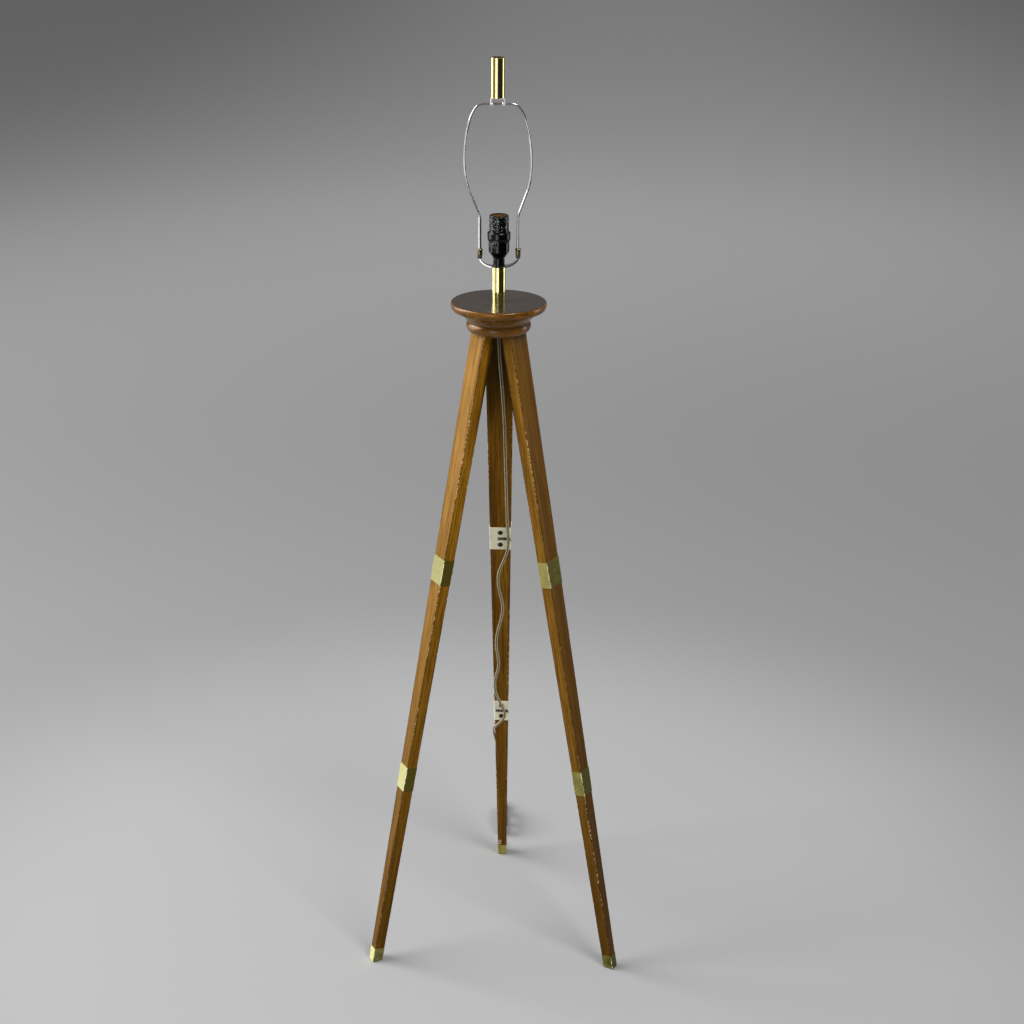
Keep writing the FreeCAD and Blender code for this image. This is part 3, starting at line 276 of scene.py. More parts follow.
def leg_wood(side, azimuth):
    """Stained softwood with its grain along the leg, dark pores, and arrises rubbed pale in nicks, with
    painted light and shade on its faces, and painted shade along its arrises, towards its foot and under the
    head.
    """
    g = Graph(f"leg_wood_{side}")
    local = leg_space(g, azimuth)
    across_x, across_y, along = g.split(local)

    shifted = g.vector("ADD", local, (0.37 * azimuth, 0.21 * azimuth, 0.0))
    fine = g.noise(g.vector("MULTIPLY", shifted, (520, 520, 11)), 1.0, 4.0, 0.65, 0.2)
    blotch = g.noise(g.vector("MULTIPLY", shifted, (16, 16, 6)), 1.0, 3.0, 0.55)
    pores = g.noise(g.vector("MULTIPLY", shifted, (1100, 1100, 34)), 1.0, 2.0, 0.6)
    # Painted light and shade on the leg's faces.
    wood = painted_face_light_and_shade(g, grain_colour(g, shifted), side, across_x)
    wood = g.mix(g.step(fine, 0.44, 0.60, 0.0, 0.66), wood, FINE_GRAIN)
    wood = g.mix(g.step(blotch, 0.52, 0.74, 0.0, 0.40), wood, BLOTCHES)
    wood = g.mix(g.step(pores, 0.58, 0.70, 0.0, 0.60), wood, PORES)

    to_arris = arris_distance(g, local)
    nibble = g.noise(g.vector("MULTIPLY", shifted, (300, 300, 210)), 1.0, 3.0, 0.65)
    rubbed = g.noise(g.vector("MULTIPLY", shifted, (30, 30, 12)), 1.0, 2.0, 0.5)
    reach = g.step(nibble, 0.42, 0.70, 0.0001, 0.0018)
    worn = g.math("MULTIPLY", g.math("LESS_THAN", to_arris, reach), g.step(rubbed, 0.40, 0.60, 0.25, 0.9))
    unworn = g.math("SUBTRACT", 1.0, worn)
    # Painted shade along the arrises, except where they are rubbed pale.
    edge = g.math("MULTIPLY", g.step(to_arris, 0.0006, 0.0021, 0.72, 0.0), unworn)
    # Painted shade under the head, at the top of the leg's inner face.
    shade_under_head = g.math("MULTIPLY", g.step(along, -0.26, -0.06, 0.0, 0.85), g.step(across_x, -0.004, -0.008))
    # Painted shade, darker towards the foot.
    wood = g.mix(g.step(along, -LEG_LENGTH, -0.15, PAINTED_WOOD_LIGHT_AND_SHADE[side]["foot"], 0.0), wood, FOOT_SHADE)
    wood = g.mix(worn, wood, BARE_WOOD)
    wood = g.mix(edge, wood, ARRIS_SHADE)
    wood = g.mix(shade_under_head, wood, SHADE_UNDER_HEAD)
    if side == "back":
        wood = g.mix(scuff_marks(g, across_y, along), wood, RUB_MARKS)

    rough = g.math("ADD", g.math("MULTIPLY", blotch, 0.6), g.math("MULTIPLY", fine, 0.4))
    height = g.math("ADD", g.math("MULTIPLY", fine, 0.5), g.math("MULTIPLY", pores, -0.35))
    height = g.math("SUBTRACT", height, g.math("MULTIPLY", worn, 0.8))
    return g.finish(
        Base_Color=wood,
        Roughness=g.step(rough, 0.3, 0.7, 0.40, 0.62),
        Specular_IOR_Level=0.12,
        Specular_Tint=(1.0, 0.62, 0.20, 1.0),
        Normal=g.bump(height, 0.40, 0.0004),
    )


def head_wood():
    """Dark varnished turned wood: near-black and glossy on top, warm brown and curly on its sides."""
    g = Graph("head_wood")
    place = g.position()
    broad = g.noise(g.vector("MULTIPLY", place, (12, 60, 110)), 1.0, 3.0, 0.55, 0.8)
    fine = g.noise(g.vector("MULTIPLY", place, (40, 520, 620)), 1.0, 4.0, 0.6, 0.3)
    blotch = g.noise(place, 22.0, 3.0, 0.5)
    side = g.ramp(
        broad,
        (0.28, (0.085, 0.0290, 0.0006)),
        (0.50, (0.160, 0.0610, 0.0015)),
        (0.72, (0.250, 0.1050, 0.0040)),
    )
    side = g.mix(g.step(fine, 0.45, 0.62, 0.0, 0.45), side, (0.040, 0.014, 0.0008))
    side = g.mix(g.step(blotch, 0.50, 0.72, 0.0, 0.25), side, (0.200, 0.090, 0.0100))
    top = g.mix(g.step(fine, 0.42, 0.62), (0.022, 0.0120, 0.0070), (0.013, 0.0070, 0.0045))
    up = g.split(g.node("ShaderNodeNewGeometry").outputs["Normal"])[2]
    on_top = g.step(up, 0.70, 0.97)
    height = g.math("ADD", g.math("MULTIPLY", fine, 0.5), g.math("MULTIPLY", broad, 0.4))
    height = g.math("MULTIPLY", height, g.math("SUBTRACT", 1.0, on_top))
    return g.finish(
        Base_Color=g.mix(on_top, side, top),
        Roughness=g.step(blotch, 0.3, 0.7, 0.22, 0.32),
        Specular_IOR_Level=0.40,
        Specular_Tint=(1.0, 0.80, 0.58, 1.0),
        Normal=g.bump(height, 0.02, 0.0004),
        Coat_Weight=0.12,
        Coat_Roughness=0.10,
    )


def plain_wood():
    """Unstained beech for the hidden dowels."""
    g = Graph("dowel_wood")
    grain = g.noise(g.vector("MULTIPLY", g.position(), (300, 300, 20)), 1.0, 3.0)
    colour = g.ramp(grain, (0.3, (0.42, 0.28, 0.15)), (0.7, (0.62, 0.46, 0.28)))
    return g.finish(Base_Color=colour, Roughness=0.6)


# ---------------------------------------------------------------------------------------------------------
# Metal
# ---------------------------------------------------------------------------------------------------------


def brass(name, colour, dark, roughness, tarnish=0.35):
    """Lacquered brass with tarnish in soft patches and specks, and a faint unevenness in its gloss."""
    g = Graph(name)
    place = g.position()
    patches = g.noise(place, 38.0, 4.0, 0.6)
    spots = g.noise(place, 420.0, 3.0, 0.6)
    share = g.math("MULTIPLY", g.step(patches, 0.46, 0.74), tarnish)
    share = g.math("ADD", share, g.math("MULTIPLY", g.step(spots, 0.62, 0.74), tarnish * 0.7), clamp=True)
    return g.finish(
        Base_Color=g.mix(share, colour, dark),
        Metallic=1.0,
        Roughness=g.step(patches, 0.3, 0.8, roughness * 0.8, roughness * 1.5),
        Normal=g.bump(g.noise(place, 60.0, 2.0), 0.006, 0.0003),
    )


TARNISH_AND_SHADE_BRASS = (0.095, 0.080, 0.006)
WORN_AND_HIGHLIT_EDGE = (1.0, 0.94, 0.62)

# The sheet brass of each leg's bands and cap, and of the back leg's cap on its own: how metallic it looks,
# its colour before tarnish and painted shade, how much more painted shade it has at the head and foot ends of
# the leg, and how much painted shade its outer and inner faces and its two side faces have.
SHEET_BRASS = {
    # The back leg's bands: a matte cream in place of their polished brass, a painted reflection.
    "back": {
        "metal": 0.0,
        "untarnished_lit": (1.0, 0.97, 0.72),
        "ends": (0.0, 0.05),
        "faces": (0.45, -0.30),
        "sides": (0.45, 0.45),
    },
    "back_cap": {
        "metal": 0.62,
        "untarnished_lit": (0.90, 0.80, 0.24),
        "ends": (0.0, 0.0),
        "faces": (0.60, 0.62),
        "sides": (0.75, 0.75),
    },
    "left": {
        "metal": 0.54,
        "untarnished_lit": (1.0, 0.96, 0.42),
        "ends": (0.54, -0.05),
        "faces": (-0.05, 0.45),
        "sides": (0.45, 0.90),
    },
    "right": {
        "metal": 0.62,
        "untarnished_lit": (0.88, 0.79, 0.26),
        "ends": (0.0, 0.38),
        "faces": (0.96, 0.45),
        "sides": (0.52, 0.45),
    },
}


def sheet_brass(name, azimuth):
    """A leg's thin brass sheet: each of its faces has painted shade of its own, more at one end of the leg
    than at the other, over tarnish in patches and scuffs, and its edges are bright with wear and a painted
    highlight."""
    g = Graph(f"sheet_brass_{name}")
    look = SHEET_BRASS[name]
    head_end, foot_end = look["ends"]
    outer, inner = look["faces"]
    minus, plus = look["sides"]
    local = leg_space(g, azimuth)
    facing = g.rotate(g.node("ShaderNodeNewGeometry").outputs["Normal"], "Z", -math.radians(azimuth))
    out_way, side_way, _ = g.split(facing)
    patches = g.noise(local, 45.0, 4.0, 0.6)
    scuffs = g.noise(g.vector("MULTIPLY", local, (500, 500, 160)), 1.0, 3.0, 0.6)
    # Painted shade for each face and each end of the leg, then tarnish in patches and scuffs.
    face = g.mix(g.step(out_way, -0.2, 0.2), (inner,) * 3, (outer,) * 3)
    flank = g.mix(g.step(side_way, -0.2, 0.2), (minus,) * 3, (plus,) * 3)
    tarnish_and_shade = g.split(g.mix(g.step(g.math("ABSOLUTE", side_way), 0.60, 0.75), face, flank))[0]
    tarnish_and_shade = g.math("ADD", tarnish_and_shade, g.step(g.split(local)[2], -LEG_LENGTH, -0.40, foot_end, head_end))
    tarnish_and_shade = g.math("ADD", tarnish_and_shade, g.step(patches, 0.40, 0.75, -0.06, 0.14))
    tarnish_and_shade = g.math("ADD", tarnish_and_shade, g.step(scuffs, 0.55, 0.72, 0.0, 0.10), clamp=True)
    # The edges: bright with wear and a painted highlight.
    reach = g.step(scuffs, 0.40, 0.60, 0.0004, 0.0014)
    worn = g.math("LESS_THAN", arris_distance(g, local, SHEET_PROUD), reach)
    return g.finish(
        Base_Color=g.mix(worn, g.mix(tarnish_and_shade, look["untarnished_lit"], TARNISH_AND_SHADE_BRASS), WORN_AND_HIGHLIT_EDGE),
        Metallic=look["metal"],
        Specular_IOR_Level=0.2,
        Roughness=g.step(patches, 0.3, 0.8, 0.16, 0.34),
        Normal=g.bump(g.math("ADD", patches, g.math("MULTIPLY", scuffs, 0.15)), 0.12, 0.0012),
    )


def steel(name, colour, roughness, metallic=1.0, speckle=0.5):
    """Plated or blackened steel with a little uneven wear."""
    g = Graph(name)
    place = g.position()
    wear = g.noise(place, 180.0, 4.0, 0.6)
    faint = tuple(channel * (1 - 0.45 * speckle) for channel in colour)
    return g.finish(
        Base_Color=g.mix(g.step(wear, 0.45, 0.72), colour, faint),
        Metallic=metallic,
        Roughness=g.step(wear, 0.3, 0.8, roughness * 0.8, roughness * 1.4),
        Normal=g.bump(wear, 0.06, 0.0004),
    )


# ---------------------------------------------------------------------------------------------------------
# Plastics
# ---------------------------------------------------------------------------------------------------------


def moulding(name, colour, roughness, coat=0.0, grain=0.04, subsurface=0.0):
    """A moulded plastic with a faint flow texture and dust in its surface."""
    g = Graph(name)
    place = g.position()
    flow = g.noise(place, 260.0, 3.0, 0.55)
    dust = g.noise(place, 900.0, 2.0, 0.6)
    pale = tuple(min(1.0, channel * 1.25 + 0.012) for channel in colour)
    return g.finish(
        Base_Color=g.mix(g.step(dust, 0.60, 0.78, 0.0, 0.6), colour, pale),
        Roughness=g.step(flow, 0.3, 0.7, roughness * 0.8, roughness * 1.3),
        Normal=g.bump(flow, grain, 0.0005),
        Coat_Weight=coat,
        Coat_Roughness=0.08,
        Subsurface_Weight=subsurface,
        Subsurface_Scale=0.002,
    )


PHENOLIC = (0.0012, 0.0014, 0.0016)
PALE_FLECKS = (0.46, 0.49, 0.49)
GREY_BOSS = (0.085, 0.096, 0.102)


def socket_black(name):
    """Glossy black phenolic, with small pale flecks on its sleeve and a grey ring on its boss."""
    g = Graph(name)
    place = g.position()
    flow = g.noise(place, 260.0, 3.0, 0.55)
    flecks = g.noise(g.vector("MULTIPLY", place, (520, 520, 300)), 1.0, 2.0, 0.6)
    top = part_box("socket_body")[1][2]
    height = g.split(place)[2]
    base = top - SLEEVE_HEIGHT
    on_sleeve = g.math("MULTIPLY", g.step(height, base, base + 0.004), g.step(height, top, top - 0.004))
    turned = g.rotate(place, "Z", -KNOB_AZIMUTH)
    out, aside, up = g.split(turned)
    off_axis = g.math("POWER", g.math("SUBTRACT", up, KNOB_HEIGHT), 2.0)
    off_axis = g.math("SQRT", g.math("ADD", off_axis, g.math("MULTIPLY", aside, aside)))
    on_boss = g.math("MULTIPLY", g.step(off_axis, 0.0068, 0.0056), g.step(out, 0.0190, 0.0204))
    flecked = g.math("MULTIPLY", on_sleeve, g.step(flecks, 0.60, 0.66))
    return g.finish(
        Base_Color=g.mix(on_boss, g.mix(flecked, PHENOLIC, PALE_FLECKS), GREY_BOSS),
        Roughness=g.step(flow, 0.3, 0.7, 0.10, 0.16),
        Specular_IOR_Level=0.26,
        Normal=g.bump(flow, 0.10, 0.0005),
    )


def cord_plastic(name, light, dark):
    """Clear gold insulation over copper strands, which glint through the plastic."""
    g = Graph(name)
    place = g.position()
    strands = g.noise(place, 700.0, 2.0)
    patches = g.noise(place, 30.0, 3.0)
    colour = g.mix(g.step(strands, 0.40, 0.65), dark, light)
    colour = g.mix(g.step(patches, 0.45, 0.70, 0.0, 0.35), colour, dark)
    return g.finish(
        Base_Color=colour,
        Metallic=0.15,
        Roughness=g.step(patches, 0.3, 0.7, 0.26, 0.42),
        Normal=g.bump(strands, 0.08, 0.0003),
        Coat_Weight=0.5,
        Coat_Roughness=0.12,
    )


# ---------------------------------------------------------------------------------------------------------
# Cord: one flat lamp cord from the bushing to the plug
# ---------------------------------------------------------------------------------------------------------

CORD_EXIT = Vector((0, 0, 1.1538))
CORD_DROP = Vector((0, 0.0015, -0.024))

# On the back leg: distance down the leg, offset to the right across it, and lift out of its inner face.
CORD_ON_LEG = [
    (0.114, 0.0070, 0.025),
    (0.172, 0.0094, 0.019),
    (0.244, 0.0100, 0.013),
    (0.318, 0.0114, 0.008),
    (0.372, 0.0126, 0.0054),
    (0.408, 0.0146, 0.0046),
    (0.434, 0.0142, 0.0049),
    (0.457, 0.0065, 0.0054),
    (0.486, -0.0046, 0.0070),
    (0.518, -0.0030, 0.0090),
    (0.551, 0.0050, 0.0090),
    (0.577, 0.0030, 0.0100),
    (0.608, -0.0052, 0.0120),
    (0.640, -0.0088, 0.0120),
    (0.667, -0.0046, 0.0110),
    (0.693, -0.0034, 0.0095),
    (0.716, -0.0092, 0.0080),
    (0.736, -0.0120, 0.0070),
    (0.757, -0.0100, 0.0068),
    (0.778, -0.0026, 0.0066),
    (0.796, 0.0046, 0.0066),
    (0.808, 0.0076, 0.0066),
    (0.818, 0.0052, 0.0066),
    (0.828, -0.0020, 0.0062),
    (0.837, -0.0094, 0.0050),
    (0.846, -0.0156, 0.0028),
    (0.862, -0.0160, -0.0110),
    (0.878, -0.0158, -0.0236),
    (0.902, -0.0094, -0.0228),
    (0.940, -0.0034, -0.0222),
    (0.990, 0.0014, -0.0224),
    (1.048, -0.0010, -0.0222),
    (1.090, 0.0004, -0.0223),
    (1.126, 0.0000, -0.0234),
]

# From the foot of the leg to the hank, in the hank's frame: across it, along it, and up.
CORD_ON_FLOOR = [(0.0, -0.038, 0.0031), (0.0, 0.0, 0.0031), (-0.001, 0.018, 0.0021)]

# The hank of put-away cord: two stacks of turns side by side, standing on the floor behind the back leg.
HANK_TURN = math.radians(2.5)
HANK_ASIDE = -0.002
HANK_BEHIND = 0.046
HANK_LENGTH = 0.092
HANK_HEIGHT = 0.046
HANK_SLACK = 0.0003
HANK_LANE = 0.0056
HANK_LAYER = 0.0029
HANK_LAYERS = 3
HALF_TURN_POINTS = 6
FIRST_CORNER = math.radians(18)
CORNER_STEP = math.radians(28.8)

# Where the cord enters the first stack and crosses from it to the second, in shares of a lane's offset, and
# how high it meets the plug.
ENTRY_LANE = -0.6
CROSSING_LANES = (-0.4, 0.3)
PLUG_HEIGHT = 0.0097


def on_back_leg(station, across, lift):
    """A point near the back leg's inner face: down the leg, across it to the right, and out of it."""
    return leg_frame(LEG_AZIMUTHS["back"]) @ Vector((-HALF_LEG - lift, -across, -station))


def hank_frame():
    """The hank's frame: origin on the floor at its near end, +Y along it, away from the leg."""
    foot = LEG_OUTSET + STAND_HEIGHT * math.tan(LEG_SPLAY)
    place = Matrix.Translation((HANK_ASIDE, foot + HANK_BEHIND, 0))
    return place @ Matrix.Rotation(HANK_TURN, 4, "Z")


def hank_turn_points(lane, layer, first, last):
    """The control points of one turn: out along the floor, up round the far end, back and down.

    The turn keeps to its lane, apart from any first and last points that are given places of their own.
    """
    radius = HANK_HEIGHT / 2 - CORD_THICKNESS / 2 - HANK_SLACK - layer * HANK_LAYER
    corner = radius / math.cos(CORNER_STEP / 2)
    middle = HANK_HEIGHT / 2
    near, far = middle, HANK_LENGTH - middle
    points = []
    for centre, start in ((far, -math.pi / 2), (near, math.pi / 2)):
        for step in range(HALF_TURN_POINTS):
            angle = start + FIRST_CORNER + CORNER_STEP * step
            points.append((centre + corner * math.cos(angle), middle + corner * math.sin(angle)))
    lanes = [lane] * len(points)
    lanes[: len(first)] = first
    if last:
        lanes[-len(last) :] = last
    return [Vector((across, along, up)) for across, (along, up) in zip(lanes, points)]


def hank_points():
    """The hank in its own frame: a left stack wound inward, then a right one, then out to the plug."""
    points = []
    for side in (-1, 1):
        for layer in range(HANK_LAYERS):
            entering = side < 0 and layer == 0
            crossing = side < 0 and layer == HANK_LAYERS - 1
            first = [ENTRY_LANE * HANK_LANE] if entering else []
            last = [share * HANK_LANE for share in CROSSING_LANES] if crossing else []
            points += hank_turn_points(side * HANK_LANE, layer, first, last)
    inner = HANK_HEIGHT / 2 - HANK_LAYERS * HANK_LAYER - CORD_THICKNESS / 2
    low = HANK_HEIGHT / 2 - inner
    points += [
        Vector((-ENTRY_LANE * HANK_LANE, 0.034, low + 0.001)),
        Vector((0.0, 0.056, low)),
        Vector((0.0, 0.075, PLUG_HEIGHT)),
        Vector((0.0, HANK_LENGTH + 0.002, PLUG_HEIGHT)),
    ]
    return points


def cord_route():
    """The cord's control points, from the bushing to the plug."""
    hank = hank_frame()
    route = [CORD_EXIT, CORD_EXIT + CORD_DROP]
    route += [on_back_leg(*spot) for spot in CORD_ON_LEG]
    route += [hank @ Vector(spot) for spot in CORD_ON_FLOOR]
    route += [hank @ point for point in hank_points()]
    return route


def smooth_line(points, steps):
    """The points of the NURBS curve that has these control points."""
    curve = bpy.data.curves.new("route", "CURVE")
    curve.dimensions = "3D"
    spline = curve.splines.new("NURBS")
    spline.points.add(len(points) - 1)
    for control, point in zip(spline.points, points):
        control.co = (*point, 1)
    spline.order_u = 3
    spline.use_endpoint_u = True
    spline.resolution_u = steps
    holder = bpy.data.objects.new("route", curve)
    bpy.context.scene.collection.objects.link(holder)
    shown = holder.evaluated_get(bpy.context.evaluated_depsgraph_get())
    mesh = bpy.data.meshes.new_from_object(shown)
    line = [vertex.co.copy() for vertex in mesh.vertices]
    bpy.data.objects.remove(holder)
    bpy.data.meshes.remove(mesh)
    bpy.data.curves.remove(curve)
    return line


# Below this height the cord belongs to the floor, not to the leg, and it turns this softly about the leg's
# edges.
LYING_HEIGHT = 0.10
CORNER_ROUNDING = 0.004


def away_from_leg(point, along):
    """The direction that the cord's flat side faces: out of the leg, or up from the floor."""
    if point.z < LYING_HEIGHT:
        hank = hank_frame().to_3x3()
        return hank @ Vector((1, 0, 0)).cross(hank.inverted() @ along)
    leg = leg_frame(LEG_AZIMUTHS["back"])
    local = leg.inverted() @ point
    core_x = HALF_LEG - CORNER_ROUNDING
    core_y = leg_width(-local.z) / 2 - CORNER_ROUNDING
    nearest = Vector((min(max(local.x, -core_x), core_x), min(max(local.y, -core_y), core_y), local.z))
    return (leg.to_3x3() @ (local - nearest)).normalized()


# How far round each core the outline goes, and in how many steps.
LOBE_ARC = math.radians(280)
LOBE_STEPS = 10


def cord_section():
    """The outline of a flat two-core cord: two round lobes joined by a thin web."""
    radius = CORD_THICKNESS / 2
    offset = CORD_WIDTH / 2 - radius
    outline = []
    for side, start in ((1, -LOBE_ARC / 2), (-1, math.pi - LOBE_ARC / 2)):
        for step in range(LOBE_STEPS + 1):
            angle = start + LOBE_ARC * step / LOBE_STEPS
            outline.append((side * offset + radius * math.cos(angle), radius * math.sin(angle)))
    return outline


def sweep(name, line, section, facing):
    """A mesh tube with a section that keeps its flat side facing a given way along the line."""
    verts, faces = [], []
    count = len(section)
    for index, point in enumerate(line):
        ahead = line[min(index + 1, len(line) - 1)]
        behind = line[max(index - 1, 0)]
        along = (ahead - behind).normalized()
        wide = along.cross(facing(point, along)).normalized()
        thin = wide.cross(along)
        verts += [point + wide * across + thin * up for across, up in section]
    for ring in range(len(line) - 1):
        for spoke in range(count):
            a = ring * count + spoke
            b = ring * count + (spoke + 1) % count
            faces.append((a, b, b + count, a + count))
    faces.append(tuple(reversed(range(count))))
    faces.append(tuple(range(len(verts) - count, len(verts))))
    mesh = bpy.data.meshes.new(name)
    mesh.from_pydata(verts, [], faces)
    mesh.polygons.foreach_set("use_smooth", [True] * len(mesh.polygons))
    mesh.validate()
    made = bpy.data.objects.new(name, mesh)
    bpy.context.scene.collection.objects.link(made)
    return made


CURVE_STEPS = 7

# Each of the cord's plastics: its light and its dark tone; the groove's is painted shade in the groove along
# the web.
CORE_GOLD = ((0.56, 0.49, 0.30), (0.33, 0.27, 0.14))
GROOVE_SHADE = ((0.13, 0.10, 0.05), (0.05, 0.035, 0.015))


def make_cord():
    """The whole cord in place of the CAD model's two cord solids, with painted shade in the groove along its
    web.
    """
    line = smooth_line(cord_route(), CURVE_STEPS)
    section = cord_section()
    cord = sweep("lamp_cord", line, section, away_from_leg)
    cord.data.materials.append(cord_plastic("cord_plastic", *CORE_GOLD))
    cord.data.materials.append(cord_plastic("cord_groove_shade", *GROOVE_SHADE))
    # Faces in the groove along the web get the painted shade.
    for face in cord.data.polygons:
        offsets = [abs(section[corner % len(section)][0]) for corner in face.vertices]
        face.material_index = int(sum(offsets) / len(offsets) < GROOVE_HALF_WIDTH)
    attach(cord, "lamp")
    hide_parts("cord", "cord_hank")


# ---------------------------------------------------------------------------------------------------------
# Finishes of the CAD parts
# ---------------------------------------------------------------------------------------------------------


def finish_nodes():
    """Give every node of the frame its material."""
    polished = brass("polished_brass", (0.86, 0.76, 0.30), (0.45, 0.34, 0.12), 0.11, 0.30)
    antique = brass("antique_brass", (0.15, 0.13, 0.07), (0.06, 0.05, 0.03), 0.28, 0.6)
    shell = brass("shell_brass", (0.78, 0.62, 0.25), (0.40, 0.30, 0.12), 0.22, 0.3)
    nickel = steel("nickel_plate", (0.44, 0.42, 0.40), 0.09)
    black_steel = steel("blackened_steel", (0.035, 0.030, 0.026), 0.35, 0.8)
    bright = steel("bright_pin", (0.86, 0.84, 0.80), 0.14)
    satin = steel("satin_nickel", (0.96, 0.95, 0.93), 0.44, 0.9, 0.2)
    zinc = steel("zinc_plate", (0.60, 0.56, 0.46), 0.32)
    phenolic = socket_black("black_phenolic")
    knob = moulding("knob_plastic", (0.0015, 0.0015, 0.0018), 0.14)
    dark = moulding("black_plastic", (0.020, 0.020, 0.021), 0.48)
    insulator = moulding("insulator_plastic", (0.060, 0.040, 0.024), 0.55)
    plug = moulding("plug_plastic", (0.360, 0.310, 0.180), 0.28, 0.4, 0.03, 0.2)

    finishes = {
        "head_turned": head_wood(),
        "leg_dowels": plain_wood(),
        "cord_clip_upper": black_steel,
        "cord_clip_lower": black_steel,
        "clip_pins": bright,
        "lamp_pipe": zinc,
        "pipe_nut": zinc,
        "pipe_washer": zinc,
        "cord_bushing": dark,
        "neck_tube": polished,
        "neck_washer": polished,
        "harp_saddle": nickel,
        "socket_cap": phenolic,
        "socket_body": phenolic,
        "socket_insulator": insulator,
        "screw_shell": shell,
        "centre_contact": shell,
        "switch_knob": knob,
        "harp_wire": nickel,
        "harp_legs": nickel,
        "harp_bracket": satin,
        "finial_stud": nickel,
        "ferrule_left": antique,
        "ferrule_right": antique,
        "finial": polished,
        "cord_tie": dark,
        "plug_body": plug,
        "plug_blades": shell,
    }
    for side, azimuth in LEG_AZIMUTHS.items():
        wood = leg_wood(side, azimuth)
        sheet = sheet_brass(side, azimuth)
        cap = sheet_brass("back_cap", azimuth) if side == "back" else sheet
        for level in ("upper", "middle", "lower"):
            finishes[f"leg_{side}_{level}"] = wood
        for level in ("upper", "lower"):
            finishes[f"band_{side}_{level}"] = sheet
        finishes[f"cap_{side}"] = cap
        finishes[f"band_screws_{side}"] = black_steel
    for name, material in finishes.items():
        for slot in nodes[name].material_slots:
            slot.material = material


# ---------------------------------------------------------------------------------------------------------
# Studio and camera
# ---------------------------------------------------------------------------------------------------------

CAMERA_AZIMUTH = math.radians(-87.258)
CAMERA_DISTANCE = 2.8054
CAMERA_HEIGHT = 1.9455
CAMERA_HEADING = math.radians(2.247)
CAMERA_PITCH = math.radians(21.623)
CAMERA_ROLL = math.radians(0.420)
CAMERA_LENS = 62.0


def make_camera():
    """The camera, standing at its azimuth about the lamp and looking down at it."""
    data = bpy.data.cameras.new("camera")
    data.lens = CAMERA_LENS
    data.sensor_width = 36
    data.clip_end = 100
    camera = bpy.data.objects.new("camera", data)
    bpy.context.scene.collection.objects.link(camera)
    turn = (
        Matrix.Rotation(CAMERA_HEADING, 4, "Z")
        @ Matrix.Rotation(math.radians(90) - CAMERA_PITCH, 4, "X")
        @ Matrix.Rotation(CAMERA_ROLL, 4, "Z")
    )
    place = Vector(
        (
            CAMERA_DISTANCE * math.cos(CAMERA_AZIMUTH),
            CAMERA_DISTANCE * math.sin(CAMERA_AZIMUTH),
            CAMERA_HEIGHT,
        )
    )
    camera.matrix_world = Matrix.Translation(place) @ turn
    bpy.context.scene.camera = camera


def soft_light(name, place, target, width, height, power, gloss_only=False):
    """A rectangular light that the camera doesn't see, and that may light nothing but gloss."""
    data = bpy.data.lights.new(name, "AREA")
    data.shape = "RECTANGLE"
    data.size = width
    data.size_y = height
    data.energy = power
    light = bpy.data.objects.new(name, data)
    bpy.context.scene.collection.objects.link(light)
    aim = Vector(target) - Vector(place)
    light.matrix_world = Matrix.Translation(place) @ aim.to_track_quat("-Z", "Y").to_matrix().to_4x4()
    light.visible_camera = False
    light.visible_diffuse = not gloss_only


# The floor's tones: beside the lamp, painted shade a few steps away from it, painted light far away, and
# painted shade at the sides of the distance. It reaches this far each way.
FLOOR_NEAR = (0.330, 0.330, 0.333)
FLOOR_MIDDLE_SHADE = (0.245, 0.245, 0.248)
FLOOR_FAR_LIGHT = (0.480, 0.480, 0.485)
FLOOR_SIDE_SHADE = (0.08, 0.08, 0.08)
FLOOR_REACH = 40
SQUARE = ((-1, -1), (1, -1), (1, 1), (-1, 1))


def stage_sheet(name, corners, faces, material):
    """A flat or bent sheet that belongs to the studio, not to the lamp."""
    mesh = bpy.data.meshes.new(name)
    mesh.from_pydata(corners, [], faces)
    mesh.materials.append(material)
    sheet = bpy.data.objects.new(name, mesh)
    bpy.context.scene.collection.objects.link(sheet)
    return sheet


def make_floor():
    """A pale floor, painted a little darker beyond the pool of light that the lamp stands in, painted paler
    again far away, and with painted shade at both sides of the distance behind it."""
    g = Graph("studio_floor")
    away = g.node("ShaderNodeVectorMath", operation="LENGTH")
    g.feed(away.inputs[0], g.position())
    distance = away.outputs["Value"]
    # Painted shade a few steps from the lamp, and painted light far away.
    tone = g.mix(g.step(distance, 0.75, 1.60), FLOOR_NEAR, FLOOR_MIDDLE_SHADE)
    tone = g.mix(g.step(distance, 2.0, 7.0), tone, FLOOR_FAR_LIGHT)
    across, back, _ = g.split(g.position())
    # Painted shade at both sides of the distance behind the lamp.
    aside = g.step(g.math("ABSOLUTE", g.math("SUBTRACT", across, 0.7)), 0.3, 5.0, 0.0, 0.46)
    aside = g.math("MULTIPLY", aside, g.step(back, 0.3, 3.0))
    g.finish(Base_Color=g.mix(aside, tone, FLOOR_SIDE_SHADE), Roughness=0.8, Specular_IOR_Level=0.1)
    corners = [(x * FLOOR_REACH, y * FLOOR_REACH, 0) for x, y in SQUARE]
    stage_sheet("studio_floor", corners, [(0, 1, 2, 3)], g.material)


CURTAIN_REACH = 3.4
CURTAIN_HEIGHTS = (0.01, 2.6)
CURTAIN_BEND = range(278, 364, 6)


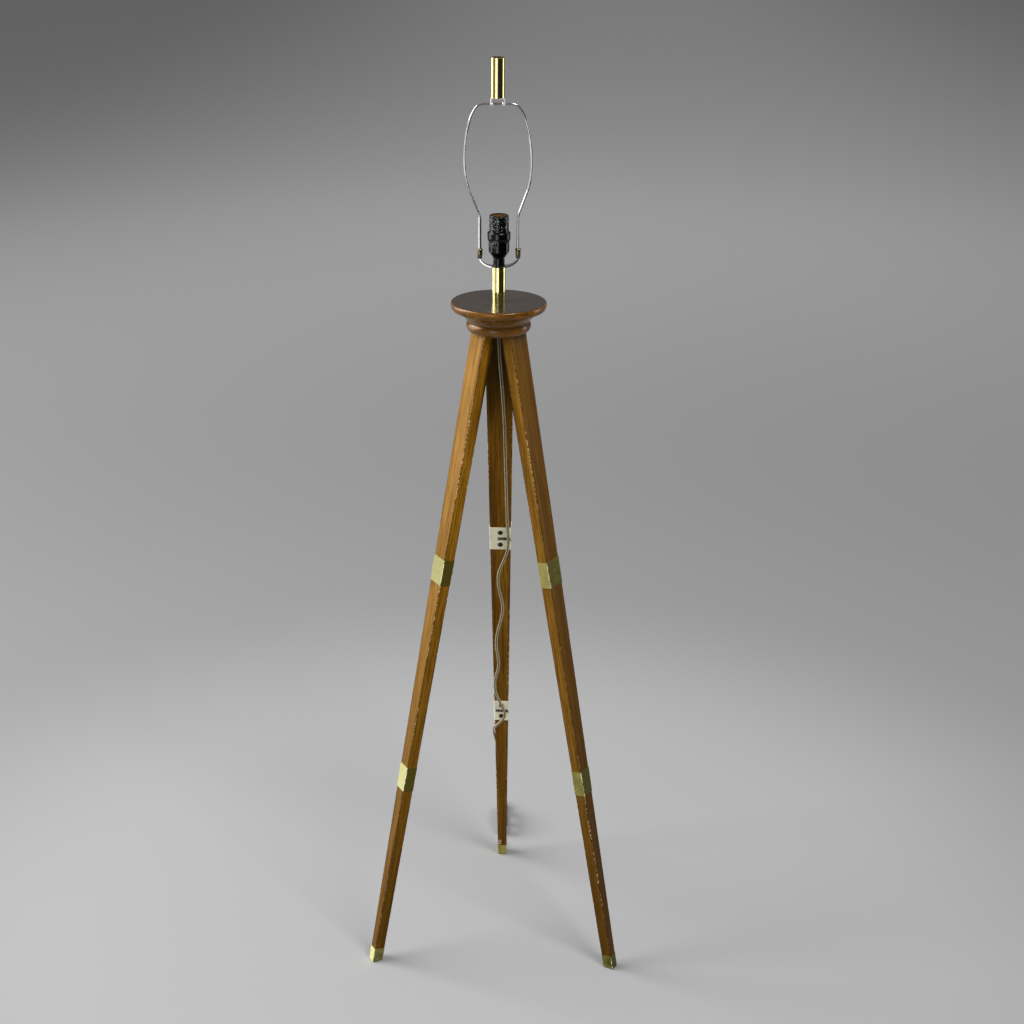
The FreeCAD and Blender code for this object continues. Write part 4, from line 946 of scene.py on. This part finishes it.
def make_curtain():
    """A dark curtain to the right of the camera, seen only in the lamp's gloss."""
    g = Graph("studio_curtain")
    g.finish(Base_Color=(0.02, 0.02, 0.02), Roughness=1.0, Specular_IOR_Level=0.0)
    corners = []
    for angle in CURTAIN_BEND:
        for height in CURTAIN_HEIGHTS:
            x = CURTAIN_REACH * math.cos(math.radians(angle))
            y = CURTAIN_REACH * math.sin(math.radians(angle))
            corners.append((x, y, height))
    faces = [(2 * k, 2 * k + 2, 2 * k + 3, 2 * k + 1) for k in range(len(CURTAIN_BEND) - 1)]
    curtain = stage_sheet("studio_curtain", corners, faces, g.material)
    curtain.visible_camera = False
    curtain.visible_diffuse = False
    curtain.visible_shadow = False


SKY_LOW = (0.17, 0.17, 0.175, 1)
SKY_HIGH = (0.48, 0.48, 0.485, 1)


def make_sky():
    """A soft dome, brightest overhead."""
    world = bpy.data.worlds.new("studio")
    world.use_nodes = True
    tree = world.node_tree
    split = tree.nodes.new("ShaderNodeSeparateXYZ")
    ramp = tree.nodes.new("ShaderNodeValToRGB")
    tree.links.new(tree.nodes.new("ShaderNodeTexCoord").outputs["Generated"], split.inputs[0])
    tree.links.new(split.outputs["Z"], ramp.inputs[0])
    ramp.color_ramp.elements[0].color = SKY_LOW
    ramp.color_ramp.elements[1].color = SKY_HIGH
    tree.links.new(ramp.outputs["Color"], tree.nodes["Background"].inputs["Color"])
    bpy.context.scene.world = world


def make_studio():
    """The stage, a soft key light, a front light, and three panels that make the stripes in the brass."""
    make_floor()
    make_curtain()
    make_sky()
    mid_lamp = (0, 0, 0.6)
    soft_light("key", (-5.0, 0.2, 4.2), mid_lamp, 4.6, 4.6, 560)
    soft_light("front", (1.9, -2.5, 5.0), mid_lamp, 1.8, 1.8, 180)
    soft_light("panel_front_left", (-0.95, -2.95, 1.1), (0, 0, 1.1), 1.3, 1.6, 20, gloss_only=True)
    soft_light("panel_back_left", (-2.95, 0.65, 1.2), (0, 0, 1.2), 2.3, 1.6, 34, gloss_only=True)
    soft_light("panel_right", (2.95, 0.85, 1.2), (0, 0, 1.2), 0.9, 1.6, 13, gloss_only=True)
    bpy.context.scene.view_settings.view_transform = "Standard"


make_camera()
make_cord()
finish_nodes()
make_studio()
